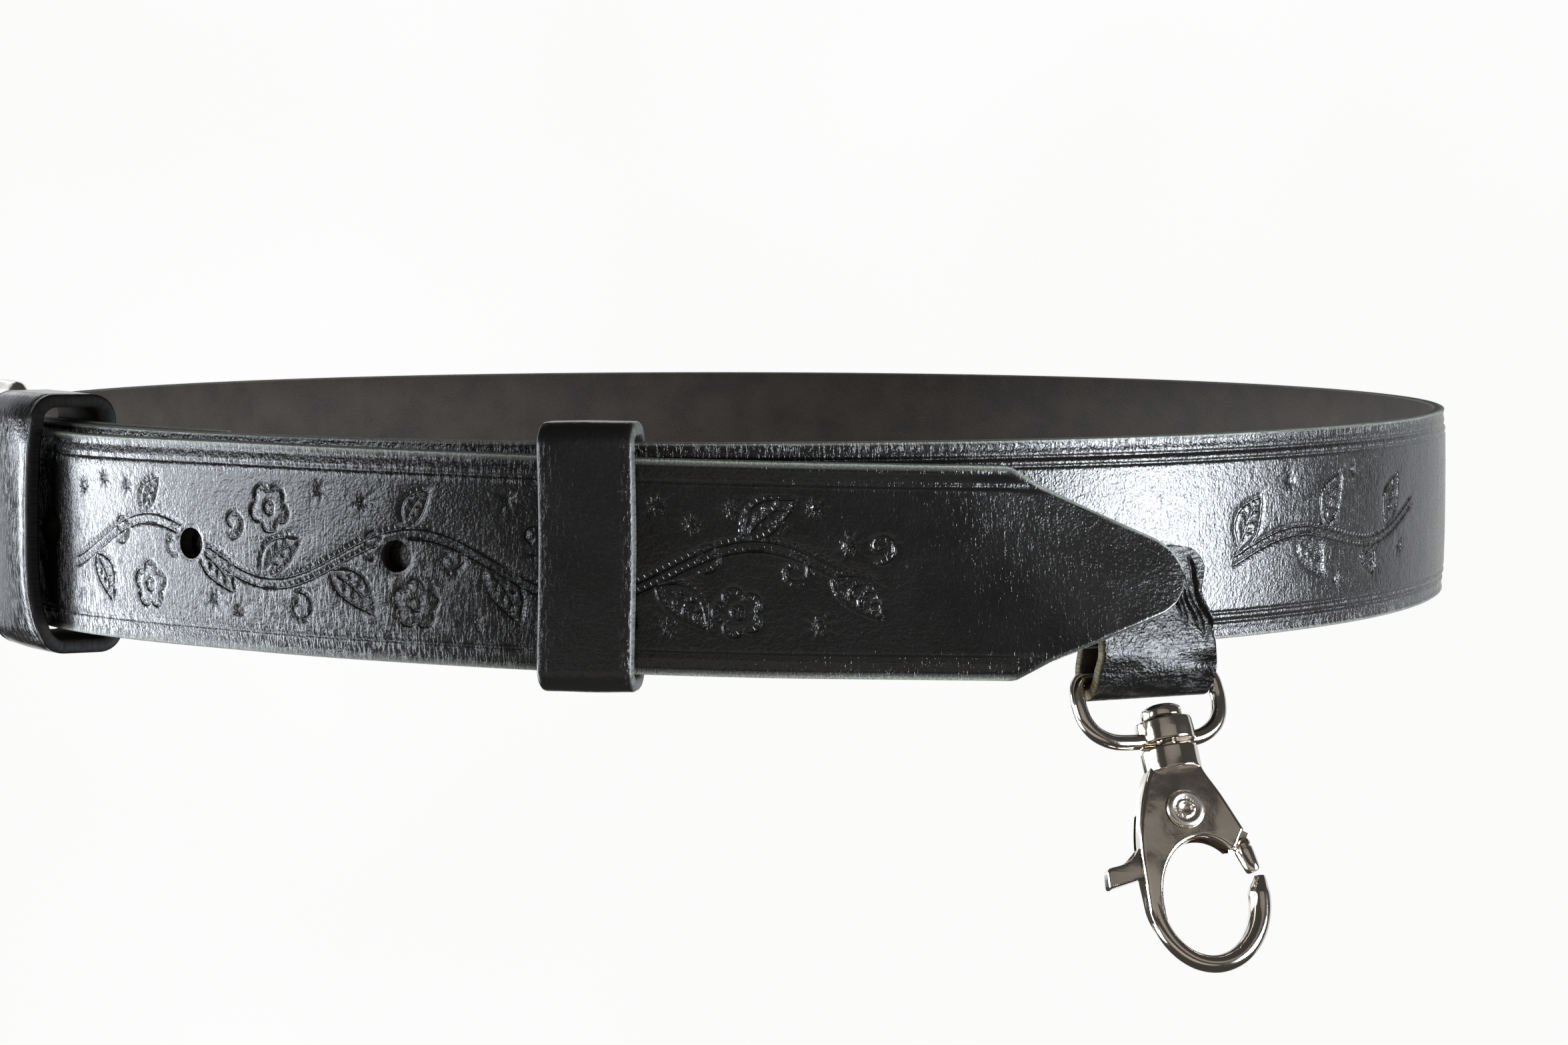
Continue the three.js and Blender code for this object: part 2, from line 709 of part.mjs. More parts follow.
function ellipse(shape, middle, halfWidth, halfHeight, tilt) {
	shape.absellipse(middle.x, middle.y, halfWidth, halfHeight, 0, 2 * Math.PI, false, tilt);
	return shape;
}

function bowPart() {
	const shape = ellipse(new THREE.Shape(), BOW_MIDDLE, BOW_HALF_WIDTH, BOW_HALF_HEIGHT, 0);
	shape.holes.push(ellipse(
		new THREE.Path(), EYE_MIDDLE, EYE_HALF_WIDTH, EYE_HALF_HEIGHT, EYE_TILT,
	));
	return slab(shape, BOW_THICK, BOW_CHAMFER);
}

// Everything that the lever's thin part covers between closed and open, with some air round it
function slotPart() {
	let slot = null;
	for (let step = 0; step <= SLOT_STEPS; step++) {
		const angle = -GATE_SWING * step / SLOT_STEPS;
		for (const end of [GATE_ROOT, THUMB_ROOT]) {
			const arm = armShape(end, LEVER_ARM_HALF + 2 * CLEAR, 4);
			const piece = slab(arm, LEVER_SLOT, 0);
			piece.translate(-PIVOT.x, -PIVOT.y, 0).rotateZ(angle).translate(PIVOT.x, PIVOT.y, 0);
			slot = slot ? slot.add(solidOf(piece)) : solidOf(piece);
		}
	}
	const hub = ellipse(new THREE.Shape(), PIVOT, LEVER_HUB + 2 * CLEAR, LEVER_HUB + 2 * CLEAR, 0);
	return slot.add(solidOf(slab(hub, LEVER_SLOT, 0)));
}

// Straight bar from the pivot to a point and on past it
function armShape(end, half, past) {
	const ahead = end.clone().sub(PIVOT).normalize();
	const side = new THREE.Vector2(-ahead.y, ahead.x).multiplyScalar(half);
	const far = end.clone().addScaledVector(ahead, past);
	return new THREE.Shape([
		PIVOT.clone().sub(side),
		far.clone().sub(side),
		far.clone().add(side),
		PIVOT.clone().add(side),
	]);
}

function makeHook() {
	const eye = slab(
		ellipse(new THREE.Shape(), EYE_MIDDLE, EYE_HALF_WIDTH, EYE_HALF_HEIGHT, EYE_TILT),
		2 * PLATE_THICK,
		0,
	);
	const mouth = new THREE.Shape();
	const mouthHigh = THREE.MathUtils.degToRad(-6);
	const mouthLow = THREE.MathUtils.degToRad(-62);
	mouth.absarc(PIVOT.x, PIVOT.y, NOSE_REACH, mouthLow, mouthHigh, false);
	mouth.absarc(PIVOT.x, PIVOT.y, PLATE_END, mouthHigh, mouthLow, true);
	const bore = new THREE.CylinderGeometry(RIVET_BORE, RIVET_BORE, 2 * PLATE_THICK, 16);
	bore.rotateX(Math.PI / 2).translate(PIVOT.x, PIVOT.y, 0);
	return solidOf(platePart())
		.subtract(solidOf(eye))
		.add(solidOf(bowPart()))
		.subtract(solidOf(slab(mouth, 2 * PLATE_THICK, 0)))
		.add(solidOf(makeStem()))
		.subtract(slotPart())
		.subtract(solidOf(bore));
}

function makeGateRivet() {
	const half = PLATE_THICK / 2 + CLEAR;
	const end = half + GATE_RIVET_CAP;
	const rivet = new THREE.LatheGeometry([
		new THREE.Vector2(0, -end),
		new THREE.Vector2(GATE_RIVET_HEAD - 0.5, -end),
		new THREE.Vector2(GATE_RIVET_HEAD, -half),
		new THREE.Vector2(RIVET_SHANK, -half),
		new THREE.Vector2(RIVET_SHANK, half),
		new THREE.Vector2(GATE_RIVET_HEAD, half),
		new THREE.Vector2(GATE_RIVET_HEAD - 0.5, end),
		new THREE.Vector2(0, end),
	], 20);
	return solidOf(rivet.rotateX(Math.PI / 2).translate(PIVOT.x, PIVOT.y, 0));
}

// Bar with round ends between two points
function capsule(from, to, half) {
	const angle = Math.atan2(to.y - from.y, to.x - from.x);
	const shape = new THREE.Shape();
	shape.absarc(to.x, to.y, half, angle - Math.PI / 2, angle + Math.PI / 2);
	shape.absarc(from.x, from.y, half, angle + Math.PI / 2, angle + 1.5 * Math.PI);
	return shape;
}

function makeLever() {
	const hub = ellipse(new THREE.Shape(), PIVOT, LEVER_HUB, LEVER_HUB, 0);
	const thumb = new THREE.Shape([
		new THREE.Vector2(-10.9, -21.2),
		new THREE.Vector2(-16.2, -23.2),
		new THREE.Vector2(-16.8, -27.3),
		new THREE.Vector2(-11.4, -26.1),
	].reverse());
	const reach = ellipse(new THREE.Shape(), PIVOT, GATE_START, GATE_START, 0);
	const gate = solidOf(slab(capsule(GATE_ROOT, GATE_TIP, GATE_HALF), GATE_THICK, 0.6));
	const bore = new THREE.CylinderGeometry(LEVER_BORE, LEVER_BORE, 2 * LEVER_THICK, 16);
	bore.rotateX(Math.PI / 2).translate(PIVOT.x, PIVOT.y, 0);
	return gate
		.subtract(solidOf(slab(reach, 2 * GATE_THICK, 0)))
		.add(solidOf(slab(hub, LEVER_THICK, 0)))
		.add(solidOf(slab(armShape(GATE_ROOT, LEVER_ARM_HALF - 0.4, 0), LEVER_THICK, 0)))
		.add(solidOf(slab(armShape(THUMB_ROOT, LEVER_ARM_HALF, 3), LEVER_THICK, 0)))
		.add(solidOf(slab(thumb, THUMB_THICK, 0.5)))
		.subtract(solidOf(bore));
}

// Assembly
const belt = new THREE.Group();
belt.add(named('strap', makeStrap(), LEATHER));
belt.add(named('keeper_buckle', makeKeeper(KEEPER_BUCKLE), KEEPER_LEATHER));
belt.add(named('keeper_middle', makeKeeper(KEEPER_MIDDLE), KEEPER_LEATHER));
belt.add(named('buckle', makeBuckle(), NICKEL));
TURN_BACK_RIVETS.forEach(({ along, inner }, i) => {
	const rivet = makeStrapRivet(along, 0, inner, -0.3, false);
	belt.add(named(`turnback_rivet_${i + 1}`, rivet, BRASS));
});
belt.add(named('hanger_tab', makeTab(), TAB_LEATHER));
const tabFace = CLEAR + TAB_THICK;
const tabRivet = makeStrapRivet(
	TAB_RIVET_ALONG,
	TAB_RIVET_UP,
	-STRAP_THICK - tabFace - CLEAR - STRAP_RIVET_CAP,
	tabFace + CLEAR + STRAP_RIVET_CAP,
	true,
);
belt.add(named('tab_rivet', tabRivet, BRASS));

// The ring hangs from its bar with its foot outwards, and the hook is turned a little in it
const ring = new THREE.Group();
const { middle, across, facing } = ringBasis();
const upward = new THREE.Vector3(0, 0, Math.cos(RING_LEAN))
	.addScaledVector(facing, -Math.sin(RING_LEAN));
const front = across.clone().cross(upward);
ring.position.copy(middle);
ring.quaternion.setFromRotationMatrix(new THREE.Matrix4().makeBasis(across, upward, front));
ring.add(named('swivel_ring', makeRing(), NICKEL));
const hook = new THREE.Group();
hook.position.set(BOSS_ACROSS, BOSS_LEVEL, 0);
hook.rotation.y = -HOOK_YAW;
hook.add(named('hook_body', makeHook(), NICKEL));
hook.add(named('gate_rivet', makeGateRivet(), NICKEL));
hook.add(named('gate_lever', makeLever(), NICKEL));
ring.add(hook);
belt.add(ring);

export default belt;
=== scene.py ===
# %% [markdown]
# # A tooled western belt
#
# The belt is fastened and keeps the round form that it has in use, so it hangs in the air
# here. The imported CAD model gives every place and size. This lesson makes each leather piece
# flat, the way a saddler does, punches and tools it, and only then bends it into place. The
# metal pieces are cut from outlines, drawn as wire or turned from profiles.

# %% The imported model
import math

import bpy
import numpy as np
from mathutils import Matrix, Vector


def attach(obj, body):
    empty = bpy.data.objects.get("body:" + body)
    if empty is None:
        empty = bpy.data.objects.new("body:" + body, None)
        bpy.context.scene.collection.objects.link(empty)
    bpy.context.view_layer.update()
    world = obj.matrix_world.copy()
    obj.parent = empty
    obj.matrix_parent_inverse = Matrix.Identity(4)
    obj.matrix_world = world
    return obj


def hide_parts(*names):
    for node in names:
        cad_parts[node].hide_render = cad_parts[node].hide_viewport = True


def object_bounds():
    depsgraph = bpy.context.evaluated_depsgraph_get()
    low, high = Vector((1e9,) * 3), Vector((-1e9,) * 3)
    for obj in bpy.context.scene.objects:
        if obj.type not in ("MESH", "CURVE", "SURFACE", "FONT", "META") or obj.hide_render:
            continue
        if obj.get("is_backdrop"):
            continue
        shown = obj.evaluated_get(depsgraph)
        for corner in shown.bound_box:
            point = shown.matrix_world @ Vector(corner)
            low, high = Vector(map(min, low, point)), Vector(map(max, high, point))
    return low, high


MM = 0.001
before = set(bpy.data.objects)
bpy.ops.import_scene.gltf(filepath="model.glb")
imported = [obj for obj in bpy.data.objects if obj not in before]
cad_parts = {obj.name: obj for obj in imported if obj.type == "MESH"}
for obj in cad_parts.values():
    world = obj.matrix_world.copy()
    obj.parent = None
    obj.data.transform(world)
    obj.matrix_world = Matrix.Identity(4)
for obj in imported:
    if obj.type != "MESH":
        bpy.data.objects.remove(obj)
cad_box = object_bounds()
bpy.ops.object.select_all(action="DESELECT")

# %% [markdown]
# ## Camera, floor and light
#
# The photograph was taken almost level, from the belt's right front, with a long lens. The
# leather is glossy, so what shapes it is what it mirrors: a strong soft box to the left and
# one to the right, both from just above belt height down, weak cards around them, and a dim
# room in between. That leaves the middle of the strap black and its upper border darker than
# its lower one. A lit white wall stands behind the belt. The floor and the pale backdrop
# are only there to be looked at, so the leather doesn't mirror them.

# %% Camera
CAMERA_PLACE = (0.75264, -0.25861, 0.056)
CAMERA_TURN = math.radians(70)
CAMERA_DOWN = math.radians(4.58)
LENS, SENSOR = 83.88, 36
bpy.ops.object.camera_add(
    location=CAMERA_PLACE, rotation=(math.radians(90) - CAMERA_DOWN, 0, CAMERA_TURN)
)
camera = bpy.context.object
camera.name = "camera"
camera.data.sensor_width = SENSOR
camera.data.lens = LENS
camera.data.clip_start = 0.02
bpy.context.scene.camera = camera
print("camera at", CAMERA_PLACE, "with a lens of", LENS, "mm")

# %% Floor and wall
FLOOR_LEVEL, FLOOR_RADIUS, BACKDROP_RADIUS = -2.2, 12, 11.8
WALL_DISTANCE, WALL_DROP = 3.6, 0.08
AIM = Vector((0.1, -0.02, 0.0))
LOOK = Vector((-math.sin(CAMERA_TURN), math.cos(CAMERA_TURN), 0))


def staged(name, mirrored):
    """Names the new object and marks it as part of the studio, not of the belt."""
    thing = bpy.context.object
    thing.name = name
    thing.visible_glossy = mirrored
    thing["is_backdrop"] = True
    return thing


bpy.ops.mesh.primitive_circle_add(
    vertices=96, radius=FLOOR_RADIUS, fill_type="NGON", location=(0, 0, FLOOR_LEVEL)
)
floor = staged("floor", mirrored=False)
bpy.ops.mesh.primitive_uv_sphere_add(segments=64, ring_count=32, radius=BACKDROP_RADIUS)
backdrop = staged("backdrop", mirrored=False)
backdrop.visible_diffuse = False
backdrop.visible_shadow = False
wall_middle = AIM + LOOK * WALL_DISTANCE + Vector((0, 0, -WALL_DROP * WALL_DISTANCE))
bpy.ops.mesh.primitive_plane_add(
    size=WALL_DISTANCE, location=wall_middle, rotation=(math.radians(90), 0, CAMERA_TURN)
)
bpy.ops.object.transform_apply(location=True, rotation=True, scale=True)
wall = staged("wall", mirrored=True)
print("wall", WALL_DISTANCE, "m behind the belt, floor", -FLOOR_LEVEL, "m below it")

# %% Soft boxes
SPREAD, SPREAD_GAIN = 120, 2.3
COOL, WARM, PLAIN = (0.88, 0.93, 1.0), (1.0, 0.93, 0.86), (1, 1, 1)
ROOM_TINT, ROOM_STRENGTH = (1, 0.96, 0.92, 1), 0.06


def soft_box(name, bearings, elevations, radiance, tint=COOL, distance=1.5):
    """An area light that fills a range of directions, seen from the belt, in degrees."""
    bearing = math.radians(sum(bearings) / 2)
    low, high = (distance * math.tan(math.radians(angle)) for angle in elevations)
    width = 2 * distance * math.tan(math.radians(bearings[1] - bearings[0]) / 2)
    place = AIM + Vector((math.cos(bearing), math.sin(bearing), 0)) * distance
    place.z = (low + high) / 2
    bpy.ops.object.light_add(type="AREA", location=place)
    lamp = bpy.context.object
    lamp.name = name
    lamp.rotation_euler = (math.radians(90), 0, bearing + math.radians(90))
    lamp.data.shape = "RECTANGLE"
    lamp.data.size = width
    lamp.data.size_y = high - low
    lamp.data.spread = math.radians(SPREAD)
    lamp.data.energy = radiance * math.pi * width * (high - low) / SPREAD_GAIN
    lamp.data.color = tint
    return lamp


box_left = soft_box("box_left", (-138, -119), (-36, 5), 24.0)
box_left.rotation_euler.rotate_axis("Z", math.radians(8))
soft_box("box_left_far", (-118, -73), (-8, 16), 9.0)
soft_box("box_behind", (-178, -150), (-12, 30), 1.0)
soft_box("card_left", (-125, -92), (-42, -20), 6.0)
soft_box("box_right", (33, 61), (-20, 6), 46.0)
soft_box("box_right_rim", (98, 130), (-30, 20), 0.8)
soft_box("card_high", (-45, 22), (10, 38), 0.36, WARM)
soft_box("card_low", (-80, 10), (-40, -14), 0.55, WARM, 1.4)
soft_box("box_above", (-60, 60), (60, 75), 0.5, PLAIN, 1.0)

world = bpy.data.worlds.new("room")
bpy.context.scene.world = world
world.use_nodes = True
room_light = world.node_tree.nodes["Background"]
room_light.inputs["Color"].default_value = ROOM_TINT
room_light.inputs["Strength"].default_value = ROOM_STRENGTH
bpy.context.scene.view_settings.view_transform = "Standard"

# %% [markdown]
# ## Writing materials as sums
#
# A material's nodes are easier to read as arithmetic. A small class wraps a socket, so that
# adding or multiplying two of them adds the Math node, and one method places any other node.


# %% Sockets that can be added
MIX_FIRST, MIX_SECOND, MIX_COLOUR = 6, 7, 2


class Flow:
    """A number or colour that runs through a material's nodes."""

    def __init__(self, sheet, socket):
        self.sheet = sheet
        self.socket = socket

    def math(self, operation, other=None, turned=False):
        values = [self] if other is None else [self, other]
        if turned:
            values.reverse()
        return self.sheet.node(
            "ShaderNodeMath", {"operation": operation}, dict(enumerate(values))
        )

    def __add__(self, other):
        return self.math("ADD", other)

    __radd__ = __add__

    def __mul__(self, other):
        return self.math("MULTIPLY", other)

    __rmul__ = __mul__

    def __sub__(self, other):
        return self.math("SUBTRACT", other)

    def __rsub__(self, other):
        return self.math("SUBTRACT", other, turned=True)

    def clear(self, low, high):
        """0 below low, 1 above high, and smooth between."""
        settings = {"interpolation_type": "SMOOTHSTEP"}
        values = {"Value": self, "From Min": low, "From Max": high}
        return self.sheet.node("ShaderNodeMapRange", settings, values)


class Finish:
    """A material that is built up node by node."""

    def __init__(self, name, **fixed):
        self.material = bpy.data.materials.new(name)
        self.material.use_nodes = True
        self.tree = self.material.node_tree
        self.shader = self.tree.nodes["Principled BSDF"]
        for socket, value in fixed.items():
            self.shader.inputs[socket.replace("_", " ")].default_value = value

    def node(self, kind, settings=None, values=None, output=0):
        """Any node: its settings first, and then the values or links of its sockets."""
        node = self.tree.nodes.new(kind)
        for key, value in (settings or {}).items():
            setattr(node, key, value)
        for key, value in (values or {}).items():
            self.feed(node.inputs[key], value)
        return Flow(self, node.outputs[output])

    def feed(self, socket, value):
        if isinstance(value, Flow):
            self.tree.links.new(value.socket, socket)
        else:
            socket.default_value = value

    def mark(self, name):
        """A number that the mesh carries, such as how near its cut edge a point is."""
        return self.node("ShaderNodeAttribute", {"attribute_name": name}, output="Fac")

    def place(self, name, stretch=(1, 1, 1)):
        """Flat leather places in millimetres, stretched so that a pattern runs one way."""
        spot = self.node("ShaderNodeAttribute", {"attribute_name": name}, output="Vector")
        return self.node("ShaderNodeMapping", None, {"Vector": spot, "Scale": stretch})

    def object_place(self, stretch=(1, 1, 1)):
        spot = self.node("ShaderNodeTexCoord", output="Object")
        return self.node("ShaderNodeMapping", None, {"Vector": spot, "Scale": stretch})

    def noise(self, spot, scale, detail=4.0, roughness=0.55):
        values = {"Vector": spot, "Scale": scale, "Detail": detail, "Roughness": roughness}
        return self.node("ShaderNodeTexNoise", None, values)

    def pebbles(self, spot, scale):
        return self.node("ShaderNodeTexVoronoi", None, {"Vector": spot, "Scale": scale})

    def blend(self, mask, first, second):
        settings = {"data_type": "RGBA"}
        values = {"Factor": mask, MIX_FIRST: first, MIX_SECOND: second}
        return self.node("ShaderNodeMix", settings, values, output=MIX_COLOUR)

    def bump(self, height, strength, distance):
        values = {"Height": height, "Strength": strength, "Distance": distance}
        return self.node("ShaderNodeBump", None, values)

    def set(self, socket, value):
        self.feed(self.shader.inputs[socket], value)


def grey(level, warm=0.0):
    return (level * (1 + warm), level, level * (1 - warm), 1)


# %% [markdown]
# ## Leather
#
# Black bridle leather has three looks: the dyed and polished grain side, with fine pores and
# short cracks across the strap where it bends; the cut edge, which is grey where the dye is
# thin; and the flesh side, matt and brownish. The tongue's end was ironed, so it is smoother
# there. The pieces carry marks that say which is which, so one recipe serves them all.
# Heights are in millimetres.

# %% Leather recipe
FLESH = ((0.010, 0.008, 0.006, 1), (0.040, 0.031, 0.024, 1))
GREY_EDGE = ((0.10, 0.11, 0.09, 1), (0.22, 0.235, 0.20, 1))
DARK_EDGE = (grey(0.006), grey(0.016))
TAN_EDGE = ((0.03, 0.025, 0.012, 1), (0.15, 0.125, 0.06, 1))
RUBBED_EDGE = ((0.012, 0.012, 0.011, 1), (0.07, 0.072, 0.064, 1))


def leather(name, edge_colours, level=0.004, polish=0.17, grain=1.0, shine=0.5, tooled=False):
    skin = Finish(name, Specular_IOR_Level=shine)
    even = skin.place("flat")
    across = skin.place("flat", (1.0, 0.15, 1.0))
    pores = skin.pebbles(even, 1.9)
    fine = skin.noise(even, 2.8, 2.0, 0.6)
    rolling = skin.noise(even, 0.75, 2.0)
    wide = skin.noise(even, 0.11, 3.0)
    cracks = skin.noise(across, 2.0, 3.0, 0.7).clear(0.5, 0.66)
    edge, back = skin.mark("edge"), skin.mark("back")
    worn, ironed = skin.mark("worn"), skin.mark("ironed")
    face = skin.blend(wide, grey(level * 0.8, 0.12), grey(level * 1.2, 0.02))
    nap = fine * 0.6 + wide * 0.4
    flesh = skin.blend(nap.clear(0.3, 0.7), *FLESH)
    rim = skin.blend(fine.clear(0.3, 0.7), *edge_colours)
    skin.set("Base Color", skin.blend(edge, skin.blend(back, face, flesh), rim))
    sheen = polish + 0.16 * (fine - 0.5) + 0.14 * (wide - 0.5) - 0.08 * ironed
    skin.set("Roughness", sheen + back * (0.9 - polish) + edge * (0.6 - polish))
    height = (0.045 * pores + 0.05 * fine + 0.12 * rolling) * grain * (1 - 0.45 * ironed)
    height = height - 0.09 * cracks * worn
    if tooled:
        knife, near, pace = skin.mark("knife"), skin.mark("near"), skin.mark("pace")
        line = (1 - knife.math("ABSOLUTE").clear(0.06, 0.3)) * (1 - near.clear(0.4, 0.7))
        taps = (pace * 5.2).math("SINE").clear(-0.3, 0.6)
        ladder = knife.clear(0.1, 0.3) * (1 - knife.clear(0.65, 0.95)) * taps
        height = height - 0.13 * line - 0.07 * ladder * (1 - near.clear(0.8, 1.1))
    skin.set("Normal", skin.bump(height, 1.0, MM))
    return skin.material


strap_leather = leather("strap_leather", GREY_EDGE, 0.005, 0.25, tooled=True)
keeper_leather = leather("keeper_leather", DARK_EDGE, 0.006, 0.14, 0.3, 0.15)
slim_keeper_leather = leather("slim_keeper_leather", RUBBED_EDGE, 0.007, 0.27, 0.8, 0.4)
tab_leather = leather("tab_leather", TAN_EDGE, 0.004, 0.2, 1.2, 0.2)
print("nodes in the strap's leather", len(strap_leather.node_tree.nodes))

# %% [markdown]
# ## Nickel
#
# The hook, ring and buckle are cast zinc with bright nickel plate. Plate is a mirror with a
# warm tint, very fine scratches from the polishing wheel, and a slightly duller skin in
# patches, so roughness wanders a little and the surface has a faint bump. The rivet's end is
# uneven from the hammer that closed it.

# %% Nickel recipe
NICKEL_TONES = ((0.66, 0.60, 0.52, 1), (0.80, 0.74, 0.66, 1))


def nickel(name, dull):
    plate = Finish(name, Metallic=1.0)
    even = plate.object_place()
    rubbed = plate.object_place((1.0, 1.0, 0.12))
    swell = plate.noise(even, 90.0, 1.0)
    patches = plate.noise(even, 260.0, 3.0)
    scratches = plate.noise(rubbed, 5200.0, 3.0)
    hammered = plate.noise(even, 1500.0, 2.0) * plate.mark("peened")
    plate.set("Base Color", plate.blend(patches, *NICKEL_TONES))
    plate.set("Roughness", dull + 0.07 * patches + 0.05 * scratches)
    height = 0.7 * swell + 0.04 * patches + 0.0015 * scratches + 0.35 * hammered
    plate.set("Normal", plate.bump(height, 1.0, MM))
    return plate.material


bright_nickel = nickel("bright_nickel", 0.06)
rivet_nickel = nickel("rivet_nickel", 0.22)
worn_nickel = nickel("worn_nickel", 0.16)
print("nodes in the nickel", len(bright_nickel.node_tree.nodes))

# %% [markdown]
# ## Wall and floor
#
# The wall gives off its own white light, a little uneven like cloth, so it stays bright behind
# the belt whatever the lamps do. Floor and backdrop are one pale paper. It glows a little too,
# which keeps it pale from every side.

# %% Wall and floor finishes
wall_light = Finish("wall_light", Base_Color=grey(0.0), Emission_Strength=1.0)
wall_cloth = wall_light.noise(wall_light.object_place(), 1.2, 2.0)
wall_light.set("Emission Color", wall_light.blend(wall_cloth, grey(0.93, 0.004), grey(1.0)))
wall.data.materials.append(wall_light.material)

floor_finish = Finish("floor_paper", Roughness=0.9, Emission_Strength=0.62)
floor_grain = floor_finish.noise(floor_finish.object_place(), 40.0)
floor_tone = floor_finish.blend(floor_grain, grey(0.86), grey(0.9))
floor_finish.set("Base Color", floor_tone)
floor_finish.set("Emission Color", floor_tone)
for paper in (floor, backdrop):
    paper.data.materials.append(floor_finish.material)
print("stage", floor.name, backdrop.name, wall.name)

# %% [markdown]
# ## The waist
#
# Everything on the belt is placed by how far along the waist it lies, how far out of the
# strap's face, and how far up. The oval has no simple formula for its length, so its steps
# are added up once and looked up after that. Lengths are in millimetres until the end.

# %% Waist oval
HALF_WIDTH = 160.0
HALF_DEPTH = 155.0
oval_turn = np.linspace(-math.pi, math.pi, 7201)
oval_step = np.hypot(
    HALF_WIDTH * np.cos((oval_turn[1:] + oval_turn[:-1]) / 2),
    HALF_DEPTH * np.sin((oval_turn[1:] + oval_turn[:-1]) / 2),
) * np.diff(oval_turn)
oval_length = np.concatenate([[0], np.cumsum(oval_step)])
oval_length -= np.interp(0, oval_turn, oval_length)
ROUND = oval_length[-1] - oval_length[0]
print("round the waist", round(ROUND, 1), "mm")


def waist(along):
    """Point, direction along and direction out, for places along the waist."""
    along = (np.asarray(along, float) + ROUND / 2) % ROUND - ROUND / 2
    turn = np.interp(along, oval_length, oval_turn)
    point = np.stack([HALF_WIDTH * np.sin(turn), -HALF_DEPTH * np.cos(turn), 0 * turn], -1)
    ahead = np.stack([HALF_WIDTH * np.cos(turn), HALF_DEPTH * np.sin(turn), 0 * turn], -1)
    ahead /= np.linalg.norm(ahead, axis=-1, keepdims=True)
    outward = np.stack([ahead[..., 1], -ahead[..., 0], 0 * turn], -1)
    return point, ahead, outward


def on_waist(along, out, up):
    point, _, outward = waist(along)
    spot = point + outward * np.asarray(out, float)[..., None]
    spot[..., 2] = up
    return spot


def smooth_step(value, low, high):
    share = np.clip((value - low) / (high - low), 0, 1)
    return share * share * (3 - 2 * share)


def eased(rows, at, ease):
    """A table's value, with its corners rounded off over a length."""
    places, values = np.array(rows, float).T
    shifts = np.linspace(-ease, ease, 9)
    return np.mean([np.interp(at + shift, places, values) for shift in shifts], axis=0)


# %% [markdown]
# ## Flat strips
#
# A grid is a good start for anything that is long and then bent: its columns run along the
# strip, and its rows go once round the strip's section, from the face over the top edge, the
# back and the bottom edge. The seam is then merged, the ends are closed, and the strip is a
# solid. Columns can be close together where the leather is tooled and wide apart elsewhere.


# %% Mesh helpers
def spots_of(piece):
    spots = np.empty(len(piece.data.vertices) * 3)
    piece.data.vertices.foreach_get("co", spots)
    return spots.reshape(-1, 3)


def move_to(piece, spots):
    piece.data.vertices.foreach_set("co", np.ascontiguousarray(spots, float).ravel())
    piece.data.update()


def only(piece):
    bpy.ops.object.select_all(action="DESELECT")
    piece.select_set(True)
    bpy.context.view_layer.objects.active = piece


def edit(piece, *steps):
    """Runs mesh operators in edit mode, each on all of the piece."""
    only(piece)
    bpy.ops.object.mode_set(mode="EDIT")
    for operator, settings in steps:
        bpy.ops.mesh.select_all(action="SELECT")
        operator(**settings)
    bpy.ops.object.mode_set(mode="OBJECT")


def tidy(piece, merge, close_ends=True):
    """Merges doubled corners, closes open ends and turns all faces outwards."""
    closing = [(bpy.ops.mesh.fill_holes, {"sides": 0})] if close_ends else []
    edit(
        piece, (bpy.ops.mesh.remove_doubles, {"threshold": merge}), *closing,
        (bpy.ops.mesh.normals_make_consistent, {"inside": False}),
    )


def note(piece, name, values):
    """Stores a number, or a place, on every corner of a mesh for its material to read."""
    values = np.asarray(values, float)
    kind, key = ("FLOAT_VECTOR", "vector") if values.ndim == 2 else ("FLOAT", "value")
    mark = piece.data.attributes.new(name, kind, "POINT")
    mark.data.foreach_set(key, np.ascontiguousarray(values).ravel())


def grid(name, columns, rows):
    """A grid with the column and the row of each of its corners."""
    bpy.ops.mesh.primitive_grid_add(x_subdivisions=columns, y_subdivisions=rows, size=1)
    piece = bpy.context.object
    piece.name = name
    spots = spots_of(piece)
    column = np.rint((spots[:, 0] + 0.5) * columns).astype(int)
    row = np.rint((spots[:, 1] + 0.5) * rows).astype(int)
    return piece, column, row


def section(face_places, half, corner):
    """Places round a strip's section: level in millimetres, depth from -1 to 1."""
    face = [(level, 1.0) for level in face_places]
    side = []
    for turn in (0.3, 0.6, 0.85):
        bow = turn * math.pi / 2
        level = half - (half - face_places[-1]) * (1 - math.sin(bow))
        side.append((level, math.cos(bow) * corner + 1 - corner))
    side += [(half, 0.0), (half, -0.7)]
    back = [(level, -1.0) for level in np.linspace(half - 0.4, -half + 0.4, 6)]
    return np.array(face + side + back + [(-level, depth) for level, depth in side[::-1]])


def flat_strip(name, runs, outline, closed=False):
    """A strip that runs along X, with its width along Y and its depth, from -1 to 1, along Z."""
    piece, column, row = grid(name, len(runs) - 1, len(outline))
    ring = outline[row % len(outline)]
    move_to(piece, np.stack([np.asarray(runs)[column], ring[:, 0], ring[:, 1]], -1))
    tidy(piece, 1e-4, close_ends=not closed)
    return piece


def modify(piece, kind, **settings):
    """Adds a modifier, sets it up and applies it."""
    step = piece.modifiers.new(kind.lower(), kind)
    for name, value in settings.items():
        setattr(step, name, value)
    only(piece)
    bpy.ops.object.modifier_apply(modifier=step.name)


def combine(piece, other, operation):
    """Joins, or cuts away, another solid, which is used up."""
    modify(piece, "BOOLEAN", operation=operation, solver="EXACT", object=other)
    bpy.data.objects.remove(other, do_unlink=True)


